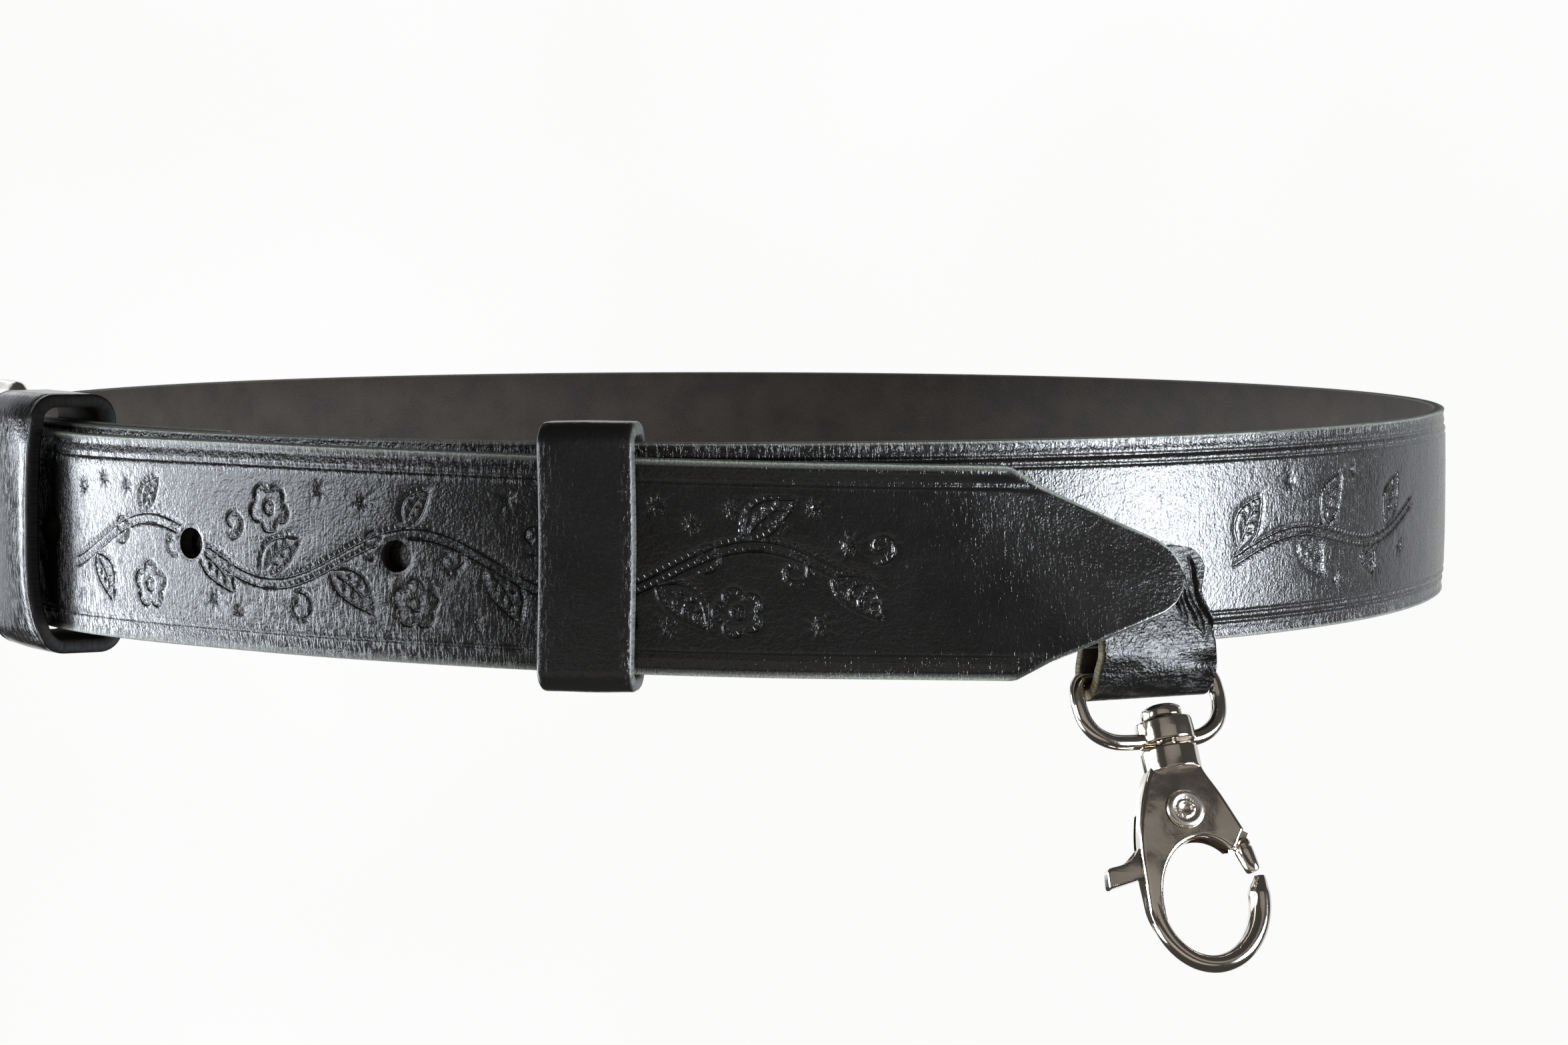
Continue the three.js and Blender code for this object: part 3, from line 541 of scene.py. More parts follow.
def rod(radius, depth, place, turn=(0, 0, 0)):
    """A round bar that a piece is cut by or joined with."""
    bpy.ops.mesh.primitive_cylinder_add(
        vertices=40, radius=radius, depth=depth, location=place, rotation=turn
    )
    return bpy.context.object


def stand(piece, matrix):
    """Puts a piece in its place by a matrix, which goes into its mesh."""
    piece.matrix_world = matrix
    only(piece)
    bpy.ops.object.transform_apply(location=True, rotation=True, scale=True)
    return piece


def stance(axes, place, scale=1.0):
    """The matrix that lays a piece's X, Y and Z along three directions at a place."""
    columns = np.stack(axes, -1) * scale
    return Matrix([(*row, at) for row, at in zip(columns, place)] + [(0, 0, 0, 1)])


def shade(piece, degrees, finish):
    only(piece)
    bpy.ops.object.shade_smooth_by_angle(angle=math.radians(degrees))
    piece.data.materials.clear()
    piece.data.materials.append(finish)
    piece.data.polygons.foreach_set("material_index", [0] * len(piece.data.polygons))


def hand_over(piece, body, slot, *nodes):
    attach(piece, body)
    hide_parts(*nodes)
    print(piece.name, len(piece.data.vertices), "corners, on", body)


# %% [markdown]
# ## Tooling
#
# The tongue is carved with a swivel knife and stamped. A knife cut is a narrow groove that
# fades out at its ends, and the saddler bevels one side of it down with small taps, which
# leave a chatter along it. The pattern here is a running vine of the common western kind,
# with leaves, five-petal flowers and little stars, drawn with a few functions: each one
# returns lines in millimetres, along the belt and up from the middle of the strap.

# %% Pattern shapes
STRAP_HALF = 19.0


def curl(centre, size, start, turns, direction=1):
    share = np.linspace(0, 1, 36)
    angle = math.radians(start) + direction * turns * 2 * math.pi * share
    reach = size * (1 - 0.86 * share)
    return np.stack([centre[0] + reach * np.cos(angle), centre[1] + reach * np.sin(angle)], -1)


def leaf(root, length, bearing, fat=0.24):
    """A pointed leaf: two bowed sides, a middle vein and short side veins."""
    angle = math.radians(bearing)
    forward = np.array([math.cos(angle), math.sin(angle)])
    side = np.array([-forward[1], forward[0]])
    share = np.linspace(0, 1, 22)[:, None]
    bow = np.sin(math.pi * share ** 0.8) * length * fat
    sag = np.sin(math.pi * share) * length * 0.08
    spine = np.array(root) + forward * length * share + side * sag
    lines = [spine + side * bow, spine - side * bow, spine[2:18]]
    for place in (6, 10, 14):
        for hand in (1, -1):
            tip = spine[place] + forward * length * 0.13 + side * hand * bow[place] * 0.72
            lines.append(np.linspace(spine[place], tip, 6))
    return lines


def flower(centre, size, turned=0.0):
    lines = []
    round_ = np.linspace(0, 2 * math.pi, 20)
    heart = np.stack([np.cos(round_), np.sin(round_)], -1)
    lines.append(np.array(centre) + heart * size * 0.26)
    for petal in range(5):
        angle = math.radians(turned + 72 * petal)
        middle = np.array(centre) + np.array([math.cos(angle), math.sin(angle)]) * size * 0.62
        arc = np.linspace(angle - 1.9, angle + 1.9, 16)
        lines.append(middle + np.stack([np.cos(arc), np.sin(arc)], -1) * size * 0.4)
    return lines


def star(centre, size, turned=0.0):
    lines = []
    for ray in range(4):
        angle = math.radians(turned + 45 * ray)
        way = np.array([math.cos(angle), math.sin(angle)]) * size
        lines.append(np.linspace(np.array(centre) - way, np.array(centre) + way, 5))
    return lines


def vine_level(along):
    return -1.0 + 5.2 * np.sin(2 * math.pi * (along - 66) / 60)


# %% Pattern on the tongue
vine_run = np.linspace(57, 218, 200)
tongue_lines = []
for offset in (-0.9, 0.9):
    tongue_lines.append(np.stack([vine_run, vine_level(vine_run) + offset], -1))
for bend, root in enumerate(np.arange(64, 216, 15.0)):
    hand = 1 if bend % 2 else -1
    level = float(vine_level(root))
    rise = 48 + hand * (8 if bend % 3 else -10)
    room = (12.2 - hand * level) / math.sin(math.radians(rise))
    tongue_lines += leaf((root, level + hand * 1.2), min(11.5, room - 1.5), hand * rise)
    tongue_lines.append(curl((root + 8.5, level - hand * 4.3), 3.1, hand * 110, 1.15, -hand))
for along, level in ((81, -8.2), (111, 7.4), (141, -8.4), (198, -7.6)):
    tongue_lines += flower((along, level), 4.3, 18 * along)
STARS = (
    (60, 9.4), (67, 11.2), (74.5, 10.2), (98, -9.8), (104, -11.6), (122, 11.2), (131, 9.4),
    (152, -10.6), (158, 11.0), (184, 10.8), (190, 7.6), (197, 10.4), (205, 8.2), (211, 10.9),
    (186, -10.4), (217, 4.6), (212, -9.6),
)
for along, level in STARS:
    tongue_lines += star((along, level), 1.5, 9 * along)
print("lines on the tongue", len(tongue_lines))

# %% Pattern on the strap behind the hook
hip_run = np.linspace(296, 362, 90)
hip_level = -5.0 + 0.1 * (hip_run - 296) + 3.2 * np.sin((hip_run - 296) / 10)
hip_lines = [np.stack([hip_run, hip_level + offset], -1) for offset in (-0.8, 0.8)]
for root, hand in ((298, 1), (314, -1), (323, 1), (337, -1), (348, 1)):
    level = float(np.interp(root, hip_run, hip_level)) + hand * 1.4
    room = (12 - hand * level) / math.sin(math.radians(52))
    hip_lines += leaf((root, level), min(11.5, room - 1), 8 + hand * 50, 0.28)
for along, level in ((312, 9.5), (333, 10.6), (327, -9.8), (355, -6)):
    hip_lines += star((along, level), 1.7, 7 * along)
print("lines behind the hook", len(hip_lines))


# %% Carving
FAR = 3.0


def carve(spots, lines):
    """Signed distance to the nearest knife line, plain distance and place along it."""
    near = np.full(len(spots), FAR)
    signed = np.full(len(spots), FAR)
    pace = np.zeros(len(spots))
    for line in lines:
        low, high = line.min(0) - FAR, line.max(0) + FAR
        close = np.flatnonzero(((spots > low) & (spots < high)).all(1))
        if not len(close):
            continue
        step = np.diff(line, axis=0)
        length = np.hypot(*step.T)
        gone = np.concatenate([[0], np.cumsum(length)])
        offset = spots[close][:, None] - line[:-1][None]
        share = np.clip((offset * step).sum(2) / length ** 2, 0, 1)
        gap = np.linalg.norm(offset - share[..., None] * step, axis=2)
        best = gap.argmin(1)
        pick = np.arange(len(close))
        at = gone[best] + share[pick, best] * length[best]
        hand = step[best, 0] * offset[pick, best, 1] - step[best, 1] * offset[pick, best, 0]
        fade = smooth_step(at, 0, 1.0) * smooth_step(gone[-1] - at, 0, 1.0)
        distance = gap[pick, best] + 0.5 * (1 - fade)
        won = distance < near[close]
        near[close[won]] = distance[won]
        signed[close[won]] = np.where(hand > 0, distance, -distance)[won]
        pace[close[won]] = at[won]
    return signed, near, pace


def wander(along, level, size, seed):
    """A slow unevenness of hand-worked leather, from a few waves."""
    total = np.zeros(len(along))
    for wave in range(5):
        turn = seed * 1.7 + wave * 2.4
        reach = size * (0.7 + 0.35 * wave)
        total += np.sin((along * math.cos(turn) + level * math.sin(turn)) / reach * 6.28 + turn)
    return total / 5


def groove(place, middle, width):
    """1 in the middle of a soft groove, fading to 0 at its sides."""
    return np.exp(-(((place - middle) / width) ** 2))


# %% [markdown]
# ## The strap
#
# One strip makes the whole belt: its end is turned back behind itself, it folds round the
# buckle's bar, goes once round the waist, passes behind the buckle's rail and over the bar,
# and ends as the pointed tongue. Its path is a list of stations, each with its place on the
# waist and the way its grain side faces: outwards, or inwards where it is turned back.

# %% Strap path
TONGUE_TIP, TONGUE_START = 276.2, -60
TURN_BACK_END, FOLD_START = 95.0, 29
BAR_ALONG, BAR_OUT, FOLD_REACH = 10.0, -3.2, 3.65
FULL_THICK, FOLD_THICK, THINNED, SKIVED = 3.0, 2.6, 2.3, 1.1
TONGUE_DROOP = (
    (-70, 0), (0, -0.6), (53, -1.5), (100, -1.15), (140, -1.6), (181, -2.5), (220, -3.5),
    (244, -4.2), (262, -5.2), (278, -6),
)
TONGUE_LIE = (
    (-70, -1.5), (-58, -1.5), (-40, -1.3), (-27, -1), (-12, 1.4), (-2, 3.2), (10, 3.75),
    (20, 2.9), (32, 1.95), (190, 1.9), (225, 2.5), (246, 4.2), (260, 6.0), (278, 8.9),
)
POINT = np.array((
    (0, 1.2), (0.7, 3.1), (2.2, 5.2), (4.6, 6.9), (15.7, 11.4), (26, 15.6), (32.3, STRAP_HALF),
    (900, STRAP_HALF),
)).T


def stations():
    """Rows of place along, out and up, the way the grain side faces, and thickness."""
    rows = []
    for along in np.arange(TURN_BACK_END, FOLD_START, -1.0):
        share = float(smooth_step(along, TURN_BACK_END - 22, TURN_BACK_END))
        thick = THINNED - SKIVED * share
        rows.append((along, -3.35 - thick / 2, 0.3, math.pi, thick))
    for along in np.arange(FOLD_START, BAR_ALONG, -1.0):
        share = float(smooth_step(along, BAR_ALONG, FOLD_START))
        thick = FOLD_THICK - 0.3 * share
        rows.append((along, -6.85 * (1 - share) - 4.5 * share, 0.3, math.pi, thick))
    for turn in np.linspace(math.pi, 0, 24):
        along = BAR_ALONG - FOLD_REACH * math.sin(turn)
        out = BAR_OUT + FOLD_REACH * math.cos(turn)
        rows.append((along, out, 0.3 * turn / math.pi, turn, FOLD_THICK))
    for along in np.arange(BAR_ALONG + 1, ROUND + TONGUE_START, 1.5):
        share = float(smooth_step(along, BAR_ALONG, BAR_ALONG + 20))
        rows.append((along, 0.45 * (1 - share) - 1.5 * share, 0, 0, FOLD_THICK + 0.4 * share))
    tongue = np.linspace(TONGUE_START, TONGUE_TIP, 340)
    lie = eased(TONGUE_LIE, tongue, 6)
    droop = eased(TONGUE_DROOP, tongue, 8)
    for along, out, up in zip(tongue, lie, droop):
        rows.append((ROUND + along, out, up, 0, FULL_THICK))
    return np.array(rows)


def length_along(spots):
    """How far each of a row of places is from the first, along the row."""
    return np.concatenate([[0], np.cumsum(np.linalg.norm(np.diff(spots, axis=0), axis=1))])


path = stations()
path_spots = on_waist(path[:, 0], path[:, 1], path[:, 2])
path_run = length_along(path_spots)
print("strap length", round(path_run[-1]), "mm")


def run_of(along, tongue):
    """How far along the leather a place of the waist is, on the tongue or on the loop."""
    on_tongue = path[:, 0] > ROUND + TONGUE_START - 0.5
    loop = (path[:, 3] == 0) & ~on_tongue
    keep = on_tongue if tongue else loop
    start = ROUND if tongue else 0
    return float(np.interp(along + start, path[keep, 0], path_run[keep]))


def path_at(run):
    """Place along the waist, facing and thickness, for places along the leather."""
    return [np.interp(run, path_run, path[:, column]) for column in (0, 3, 4)]


def half_width(run):
    """Half the strap's width, which narrows to the point at the tip."""
    return np.interp(path_run[-1] - run, *POINT)


# %% Strap strips
HOLES = (3.0, 47.5, 92.0, 137.2)
JOINT = 36.0
TURNBACK_RIVETS, TAB_RIVET = (24.3, 66.0), (269.8, -10.5)
# The turned-back leaf's own holes: the second is at its rivet, the first 12 mm beside it.
LEAF_HOLES, LEAF_ROWS = (36.0, 66.0), 60
RIVET_HOLE, STRAP_HOLE, PRONG_HOLE = 1.9, 2.9, 3.9
HIP, FINE_END = (284, 364), 222


def spaced(start, end, step):
    return np.linspace(start, end, max(2, int(round((end - start) / step))), endpoint=False)


def face_places(step):
    """Rows across the strap's face, close together over the grooves along its borders."""
    half = np.concatenate([spaced(0, 13, step), spaced(13, 17.3, 0.24), [17.7]])
    return np.concatenate([-half[:0:-1], half])


def outline_strip(name, runs, step):
    """A length of the strap, laid flat, with its real width and thickness."""
    piece = flat_strip(name, runs, section(face_places(step), STRAP_HALF, 0.7))
    spots = spots_of(piece)
    _, _, thick = path_at(spots[:, 0])
    spots[:, 1] *= half_width(spots[:, 0]) / STRAP_HALF
    spots[:, 2] *= thick / 2
    move_to(piece, spots)
    return piece


def punch(piece, holes):
    """Punches round holes, given as run, level and radius, in one cut."""
    pins = [rod(radius, 12, (run, level, 0)) for run, level, radius in holes]
    only(pins[0])
    for pin in pins:
        pin.select_set(True)
    bpy.ops.object.join()
    combine(piece, pins[0], "DIFFERENCE")


tip_run = path_run[-1]
joint_run = run_of(JOINT, True)
hip_from, hip_to = (run_of(place, False) for place in HIP)
loop_runs = np.concatenate([
    spaced(0, 60, 4), spaced(60, 92, 1.6), spaced(92, hip_from, 5.5),
    spaced(hip_from, hip_to, 0.5), spaced(hip_to, joint_run, 5.5), [joint_run],
])
tongue_runs = np.concatenate([
    spaced(joint_run, joint_run + FINE_END - JOINT, 0.32),
    spaced(joint_run + FINE_END - JOINT, tip_run - 12, 1.0),
    spaced(tip_run - 12, tip_run - 1.2, 0.5), tip_run - np.array([1.2, 0.6, 0.2, 0]),
])
strap_loop = outline_strip("strap_loop", loop_runs, 0.5)
strap_tongue = outline_strip("strap_tongue", tongue_runs, 0.33)
leaf_along, leaf_run = path[:LEAF_ROWS, 0], path_run[:LEAF_ROWS]
rivet_runs = [run_of(place, False) for place in TURNBACK_RIVETS]
rivet_runs += [float(np.interp(-place, -leaf_along, leaf_run)) for place in LEAF_HOLES]
punch(strap_loop, [
    (run_of(HOLES[0], True), 0, PRONG_HOLE),
    (run_of(TAB_RIVET[0], False), TAB_RIVET[1], RIVET_HOLE),
    *[(run, 0, RIVET_HOLE) for run in rivet_runs],
])
punch(strap_tongue, [(run_of(place, True), 0, STRAP_HOLE) for place in HOLES[1:]])
print("strap strips", len(strap_loop.data.vertices), len(strap_tongue.data.vertices))


# %% Strap surface
def tool(along, level, on_tongue, grain_side, inset, hole_gap):
    """How the knife lines lie round each place, away from the border and the holes."""
    plane = np.stack([along, level], -1)
    knife, near, pace = np.full(len(along), FAR), np.full(len(along), FAR), np.zeros(len(along))
    for mask, lines in (
        (on_tongue & (along > 48) & (along < 226), tongue_lines),
        (~on_tongue & (along > 286) & (along < 364), hip_lines),
    ):
        spots = np.flatnonzero(mask & grain_side)
        if len(spots):
            knife[spots], near[spots], pace[spots] = carve(plane[spots], lines)
    inner = smooth_step(inset, 5.6, 6.4)
    clear_of_holes = np.where(on_tongue, smooth_step(hole_gap, 3.3, 4.2), 1)
    near = near + FAR * (1 - inner * clear_of_holes)
    return np.where(near > 2.5, FAR, knife), near, pace


def relief(along, level, on_tongue, knife, near, inset, hole_gap):
    """How far the grain side rises or falls: crown, rounded borders, grooves and carving."""
    height = -0.3 * (level / STRAP_HALF) ** 2
    rounding = np.where(on_tongue & (level > 0), 0.85, 0.5)
    height -= rounding * (1 - np.clip((inset - 0.5) / 3.1, 0, 1))
    # The tongue has one groove along each border, and the loop behind it has two.
    height -= np.where(on_tongue, 0.3, 0.4) * groove(inset, np.where(on_tongue, 3.9, 3.3), 0.42)
    height -= np.where(on_tongue, 0, 0.28) * groove(inset, 4.9, 0.3)
    height -= 0.2 * groove(near, 0, 0.45)
    height -= 0.22 * np.exp(-np.abs(knife) / 1.1) * (knife > 0) * (near < FAR)
    height -= np.where(on_tongue, 0.2 * groove(hole_gap, STRAP_HOLE, 0.6), 0)
    return height + (0.1 * wander(along, level, 30, 1.0) + 0.03 * wander(along, level, 6, 2.2))


# %% Bending the strap
TIP_TWIST = math.radians(12)


def bend(run, level, depth, along, on_tongue):
    """Takes flat places to their places round the waist, with a twist near the tip."""
    around, turn, _ = path_at(run)
    centre = np.stack([np.interp(run, path_run, path_spots[:, axis]) for axis in range(3)], -1)
    _, ahead, outward = waist(around)
    twist = np.where(on_tongue, TIP_TWIST * smooth_step(along, 226, 272), 0)
    out = depth * np.cos(turn) * np.cos(twist) - level * np.sin(twist)
    bent = centre + outward * out[:, None] - ahead * (depth * np.sin(turn))[:, None]
    bent[:, 2] += level * np.cos(twist) + depth * np.sin(twist)
    return bent


def finish_strap(piece):
    run, level, depth = spots_of(piece).T
    along, _, thick = path_at(run)
    on_tongue = along > ROUND + TONGUE_START
    along = np.where(on_tongue, along - ROUND, along)
    from_edge = half_width(run) - np.abs(level)
    inset = STRAP_HALF - np.abs(level)
    hole_gap = np.min([np.hypot(along - place, level) for place in HOLES], axis=0)
    grain_side = depth > 0.3 * thick
    knife, near, pace = tool(along, level, on_tongue, grain_side, inset, hole_gap)
    height = relief(along, level, on_tongue, knife, near, inset, hole_gap)
    depth = depth + height * (grain_side * smooth_step(from_edge, 0.1, 1.3))
    bent = bend(run, level, depth, along, on_tongue)

    border = 1 - smooth_step(inset, 4.6, 5.8)
    border *= np.where(on_tongue, 0.2 + 0.8 * smooth_step(-along, -190, -120), 0.6)
    bends = 0.6 * smooth_step(-along, -190, -120) * smooth_step(-level, -12, 9) + 0.1
    note(piece, "flat", np.stack([run, level, 0 * run], -1))
    rim = smooth_step(np.where(on_tongue, 0, -0.4) - from_edge, -0.85, -0.5)
    under_tip = on_tongue * smooth_step(run - tip_run, -34, -31) * smooth_step(-level, -4, 4)
    note(piece, "edge", rim * (depth > -0.4 * thick) * (1 - 0.85 * under_tip))
    note(piece, "ironed", on_tongue * smooth_step(along, 180, 240))
    note(piece, "back", (depth < -0.3 * thick).astype(float))
    note(piece, "worn", np.maximum(border, np.where(on_tongue, bends, 0.15)))
    note(piece, "knife", np.clip(knife, -FAR, FAR))
    note(piece, "near", np.clip(near, 0, FAR))
    note(piece, "pace", pace)
    move_to(piece, bent * MM)
    tidy(piece, 1e-7, close_ends=False)
    shade(piece, 60, strap_leather)
    hand_over(piece, "belt", "strap", "strap")


finish_strap(strap_loop)
finish_strap(strap_tongue)

# %% [markdown]
# ## Keepers
#
# A keeper is a short strap that is bent into a closed loop and skived where its ends meet, at
# the back. Its path is a rectangle with round corners, walked by length. The wide keeper by
# the buckle has a crease near each of its edges, and its face is crowned and tilted; the
# narrow one is plain. Both are a bit bowed, as hand-made keepers are.

# %% Loop path
def loop_path(left, right, low, high, bend):
    """Places and outward directions round a rounded rectangle, from the back's middle down."""
    centres = ((left + bend, low + bend), (right - bend, low + bend),
               (right - bend, high - bend), (left + bend, high - bend))
    points, facing = [(left, (low + high) / 2)], [(-1.0, 0.0)]
    for corner, (x, y) in enumerate(centres):
        start = math.pi + corner * math.pi / 2
        for share in np.linspace(0, 1, 13):
            angle = start + share * math.pi / 2
            points.append((x + bend * math.cos(angle), y + bend * math.sin(angle)))
            facing.append((math.cos(angle), math.sin(angle)))
    points.append(points[0])
    facing.append(facing[0])
    points, facing = np.array(points), np.array(facing)
    return length_along(points), points, facing


# %% Keepers
def keeper(name, finish, middle, half, back, face, low, high, wall, skew, creased, seed, crown,
           lift=0.0):
    """A loop of leather round the strap, from its inside sizes and its wall."""
    run_at, points, facing = loop_path(
        back - wall / 2, face + wall / 2, low - wall / 2, high + wall / 2, 2 + wall / 2
    )
    runs = np.unique(np.concatenate([run_at, spaced(0, run_at[-1], 0.9)]))
    runs = np.append(runs[np.diff(runs, append=1e9) > 0.12][:-1], run_at[-1])
    outline = section(np.linspace(0.9 - half, half - 0.9, 30), half, 1.0)
    piece = flat_strip(name, runs, outline, closed=True)
    run, across, depth = spots_of(piece).T
    from_edge = half - np.abs(across)
    outer = depth > 0.9
    from_seam = smooth_step(np.minimum(run, run_at[-1] - run), 0, 4)
    height = depth * wall / 2
    if creased:
        height -= np.where(outer, 0.3 * groove(from_edge, 2.0, 0.4), 0)
    uneven = 0.09 * wander(run, across, 11, seed) * from_seam
    height += np.where(outer, uneven - 0.1 * (across / half) ** 2, 0)
    x, y = (np.interp(run, run_at, points[:, axis]) for axis in range(2))
    nx, ny = (np.interp(run, run_at, facing[:, axis]) for axis in range(2))
    out, up = x + nx * height, y + ny * height
    flank = 1 - np.abs(np.clip(up / high, -1, 1)) ** 3
    lean = skew * (face + wall - out) / (face - back + 2 * wall) - 0.045 * up * creased
    tilt = lift * (1 - 0.6 * up / high) * across / half
    out += (crown + tilt) * flank * smooth_step(out, 0, 3)
    bow = 0.25 * np.sin(up / 9 + seed)
    move_to(piece, on_waist(middle + across + lean + bow, out, up) * MM)
    note(piece, "flat", np.stack([across * 0.9, run, 0 * run], -1))
    note(piece, "edge", smooth_step(-from_edge, -0.45, -0.1) * (depth > -0.9))
    note(piece, "back", (depth < -0.8).astype(float))
    note(piece, "worn", 0.15 + 0.3 * smooth_step(-from_edge, -3, -1))
    tidy(piece, 2e-6, close_ends=False)
    shade(piece, 50, finish)
    return piece


wide_keeper = keeper(
    "keeper_by_buckle", keeper_leather, middle=36.3, half=12, back=-6.1, face=4.5, low=-22.7,
    high=22.1, wall=2.6, skew=4, creased=True, seed=0.4, crown=1.3, lift=1.1,
)
hand_over(wide_keeper, "belt", "keeper", "keeper_buckle")
slim_keeper = keeper(
    "keeper_on_tongue", slim_keeper_leather, middle=172.1, half=8.25, back=-3.4, face=3.85,
    low=-22.3, high=20.2, wall=2.5, skew=1, creased=False, seed=1.3, crown=0.2,
)
hand_over(slim_keeper, "belt", "keeper", "keeper_middle")

# %% [markdown]
# ## Hanger tab
#
# A strip of softer leather goes through the ring and up both sides of the strap, where a
# rivet holds it. Its cut edge on the side of the buckle was never dyed, so it is tan. The
# leather is squeezed on the other side: it has a deep pinch there and small wrinkles round
# it. The strip is first laid flat with round corners, then wrinkled, and folded last. Its
# upper part follows the waist and its lower part the ring, which stands at another angle.

# %% Tab's side line
TAB_ALONG, TAB_HALF, TAB_TOP, LEG = 276.0, 12.3, -1.0, 2.9
RING_OUT, RING_UP = -1.5, -24.8
BELLY, BELLY_LEVEL = 1.5, -20.2
ring_facing = math.radians(95)
ring_across = np.array([math.cos(ring_facing), math.sin(ring_facing), 0])
ring_out = np.array([math.sin(ring_facing), -math.cos(ring_facing), 0])
ring_middle = on_waist(TAB_ALONG, RING_OUT, RING_UP)
down = np.linspace(TAB_TOP, BELLY_LEVEL, 40)
quarter = np.linspace(0, math.pi / 2, 30)[1:]
side_line = np.concatenate([
    np.stack([LEG + BELLY * smooth_step(-down, 7, -BELLY_LEVEL), down], -1),
    np.stack([(LEG + BELLY) * np.cos(quarter),
              BELLY_LEVEL - (BELLY_LEVEL - RING_UP + LEG) * np.sin(quarter)], -1),
    np.stack([-LEG * np.sin(quarter), RING_UP - LEG * np.cos(quarter)], -1),
    [(-LEG, TAB_TOP)],
])
side_run = length_along(side_line)
front_run, tab_length = side_run[len(down) + len(quarter) - 1], side_run[-1]
print("tab length", round(tab_length, 1), "mm")

# %% Flat tab
TAB_CORNER = 6.5
tab_runs = np.concatenate([
    [0, 0.25], spaced(0.5, front_run, 0.4), spaced(front_run, front_run + 4.5, 0.5),
    spaced(front_run + 4.5, tab_length - 0.5, 0.9), [tab_length - 0.25, tab_length],
])
tab_places = np.linspace(0.4 - TAB_HALF, TAB_HALF - 0.4, 110)
tab = flat_strip("hanger_tab_leather", tab_runs, section(tab_places, TAB_HALF, 0.7))
spots = spots_of(tab)
from_end = np.minimum(spots[:, 0], tab_runs[-1] - spots[:, 0])
into_corner = np.clip(TAB_CORNER - from_end, 0, TAB_CORNER)
rounding = np.sqrt(np.clip(TAB_CORNER ** 2 - into_corner ** 2, 0, None))
spots[:, 1] *= (TAB_HALF - TAB_CORNER + rounding) / TAB_HALF
spots[:, 2] *= 1.05
move_to(tab, spots)
punch(tab, [
    (run, TAB_RIVET[0] - TAB_ALONG, RIVET_HOLE)
    for run in (TAB_TOP - TAB_RIVET[1], tab_length - TAB_TOP + TAB_RIVET[1])
])

# %% Tab's wrinkles
PINCH_AT = 9.7
run, across, depth = spots_of(tab).T
from_end = np.minimum(run, tab_length - run)
outer = depth > 0.9
front = smooth_step(front_run - run, 0, 3)
low_down = run - TAB_TOP
lines = np.zeros(len(run))
for count in range(8):
    lie = TAB_HALF - 1.5 - 1.05 * count + 0.4 * math.sin(2.1 * count)
    lie = lie + 0.45 * np.sin(low_down / (2.6 + 0.5 * (count % 3)) + 2.3 * count)
    lie = lie + 0.16 * (low_down - 10) - np.clip(9 - low_down, 0, 9) * (0.45 + 0.1 * count)
    top = 2.5 + 1.3 * (count * 3 % 5)
    reach = smooth_step(low_down, top, top + 2) * smooth_step(20.5 - 0.8 * count - low_down, 0, 4)
    deep, wide = (0.6, 0.5) if count == 0 else (0.3, 0.3)
    lines += deep * reach * groove(across, lie, wide)
swell = 0.07 * wander(low_down, across, 9, 3.1) + 0.04 * wander(low_down, across, 2.0, 0.8)
swell += 0.4 * smooth_step(across, TAB_HALF - 3.5, TAB_HALF)
height = depth + np.where(outer, (swell - lines) * front, 0)
dent = groove(low_down, PINCH_AT, 3.4) + 0.35 * smooth_step(PINCH_AT - low_down, 0, 4)
sideways = across - 2.3 * dent * smooth_step(across, 2, TAB_HALF) * front
print("deepest wrinkle", round(float((lines * front).max()), 2), "mm")

# %% Folded tab
facing = np.gradient(side_line, side_run, axis=0)
x, y = (np.interp(run, side_run, side_line[:, axis]) for axis in range(2))
x -= height * np.interp(run, side_run, facing[:, 1])
y += height * np.interp(run, side_run, facing[:, 0])
on_belt = on_waist(TAB_ALONG + sideways, RING_OUT + x, y)
on_ring = ring_middle + ring_across * sideways[:, None] + ring_out * x[:, None]
on_ring[:, 2] += y - RING_UP
share = smooth_step(-y, STRAP_HALF + 0.5, -RING_UP - 1.5)[:, None]
from_side = TAB_HALF - np.abs(across)
note(tab, "flat", np.stack([run, across, 0 * run], -1))
near_cut = np.minimum(from_side, from_end)
undyed = smooth_step(-across, 4, 8) * smooth_step(run, 4, 7)
note(tab, "edge", undyed * smooth_step(-near_cut, -0.35, -0.05) * (np.abs(depth) < 1.04))
note(tab, "back", (depth < -0.95).astype(float))
note(tab, "worn", 0.25 + 0.6 * smooth_step(across, 2, 9))
move_to(tab, (on_belt * (1 - share) + on_ring * share) * MM)
tidy(tab, 1e-7, close_ends=False)
shade(tab, 55, tab_leather)
hand_over(tab, "belt", "tab", "hanger_tab")

# %% [markdown]
# ## Metal by outline and by profile
#
# Flat castings are quickest as a filled 2D curve with some thickness and a round bevel, wire
# as a 3D curve with a round bevel, and round pieces as a profile that is turned on a lathe.
# The lathe here is the same grid as before: its columns go round and its rows follow the
# profile. All are made in the piece's own plane and then stood in their place by one matrix.


# %% Outlines, lathe and wire
def drawn(name, places, closed=True, **settings):
    """A curve of straight steps from place to place, with the settings that it is given."""
    bpy.ops.curve.primitive_bezier_circle_add()
    piece = bpy.context.object
    piece.name = name
    piece.data.splines.clear()
    spline = piece.data.splines.new("POLY")
    spline.points.add(len(places) - 1)
    for point, place in zip(spline.points, places):
        point.co = (*place, 1)
    spline.use_cyclic_u = closed
    for key, value in settings.items():
        setattr(piece.data, key, value)
    return piece


def as_mesh(piece, merge):
    only(piece)
    bpy.ops.object.convert(target="MESH")
    tidy(piece, merge, close_ends=False)
    return piece


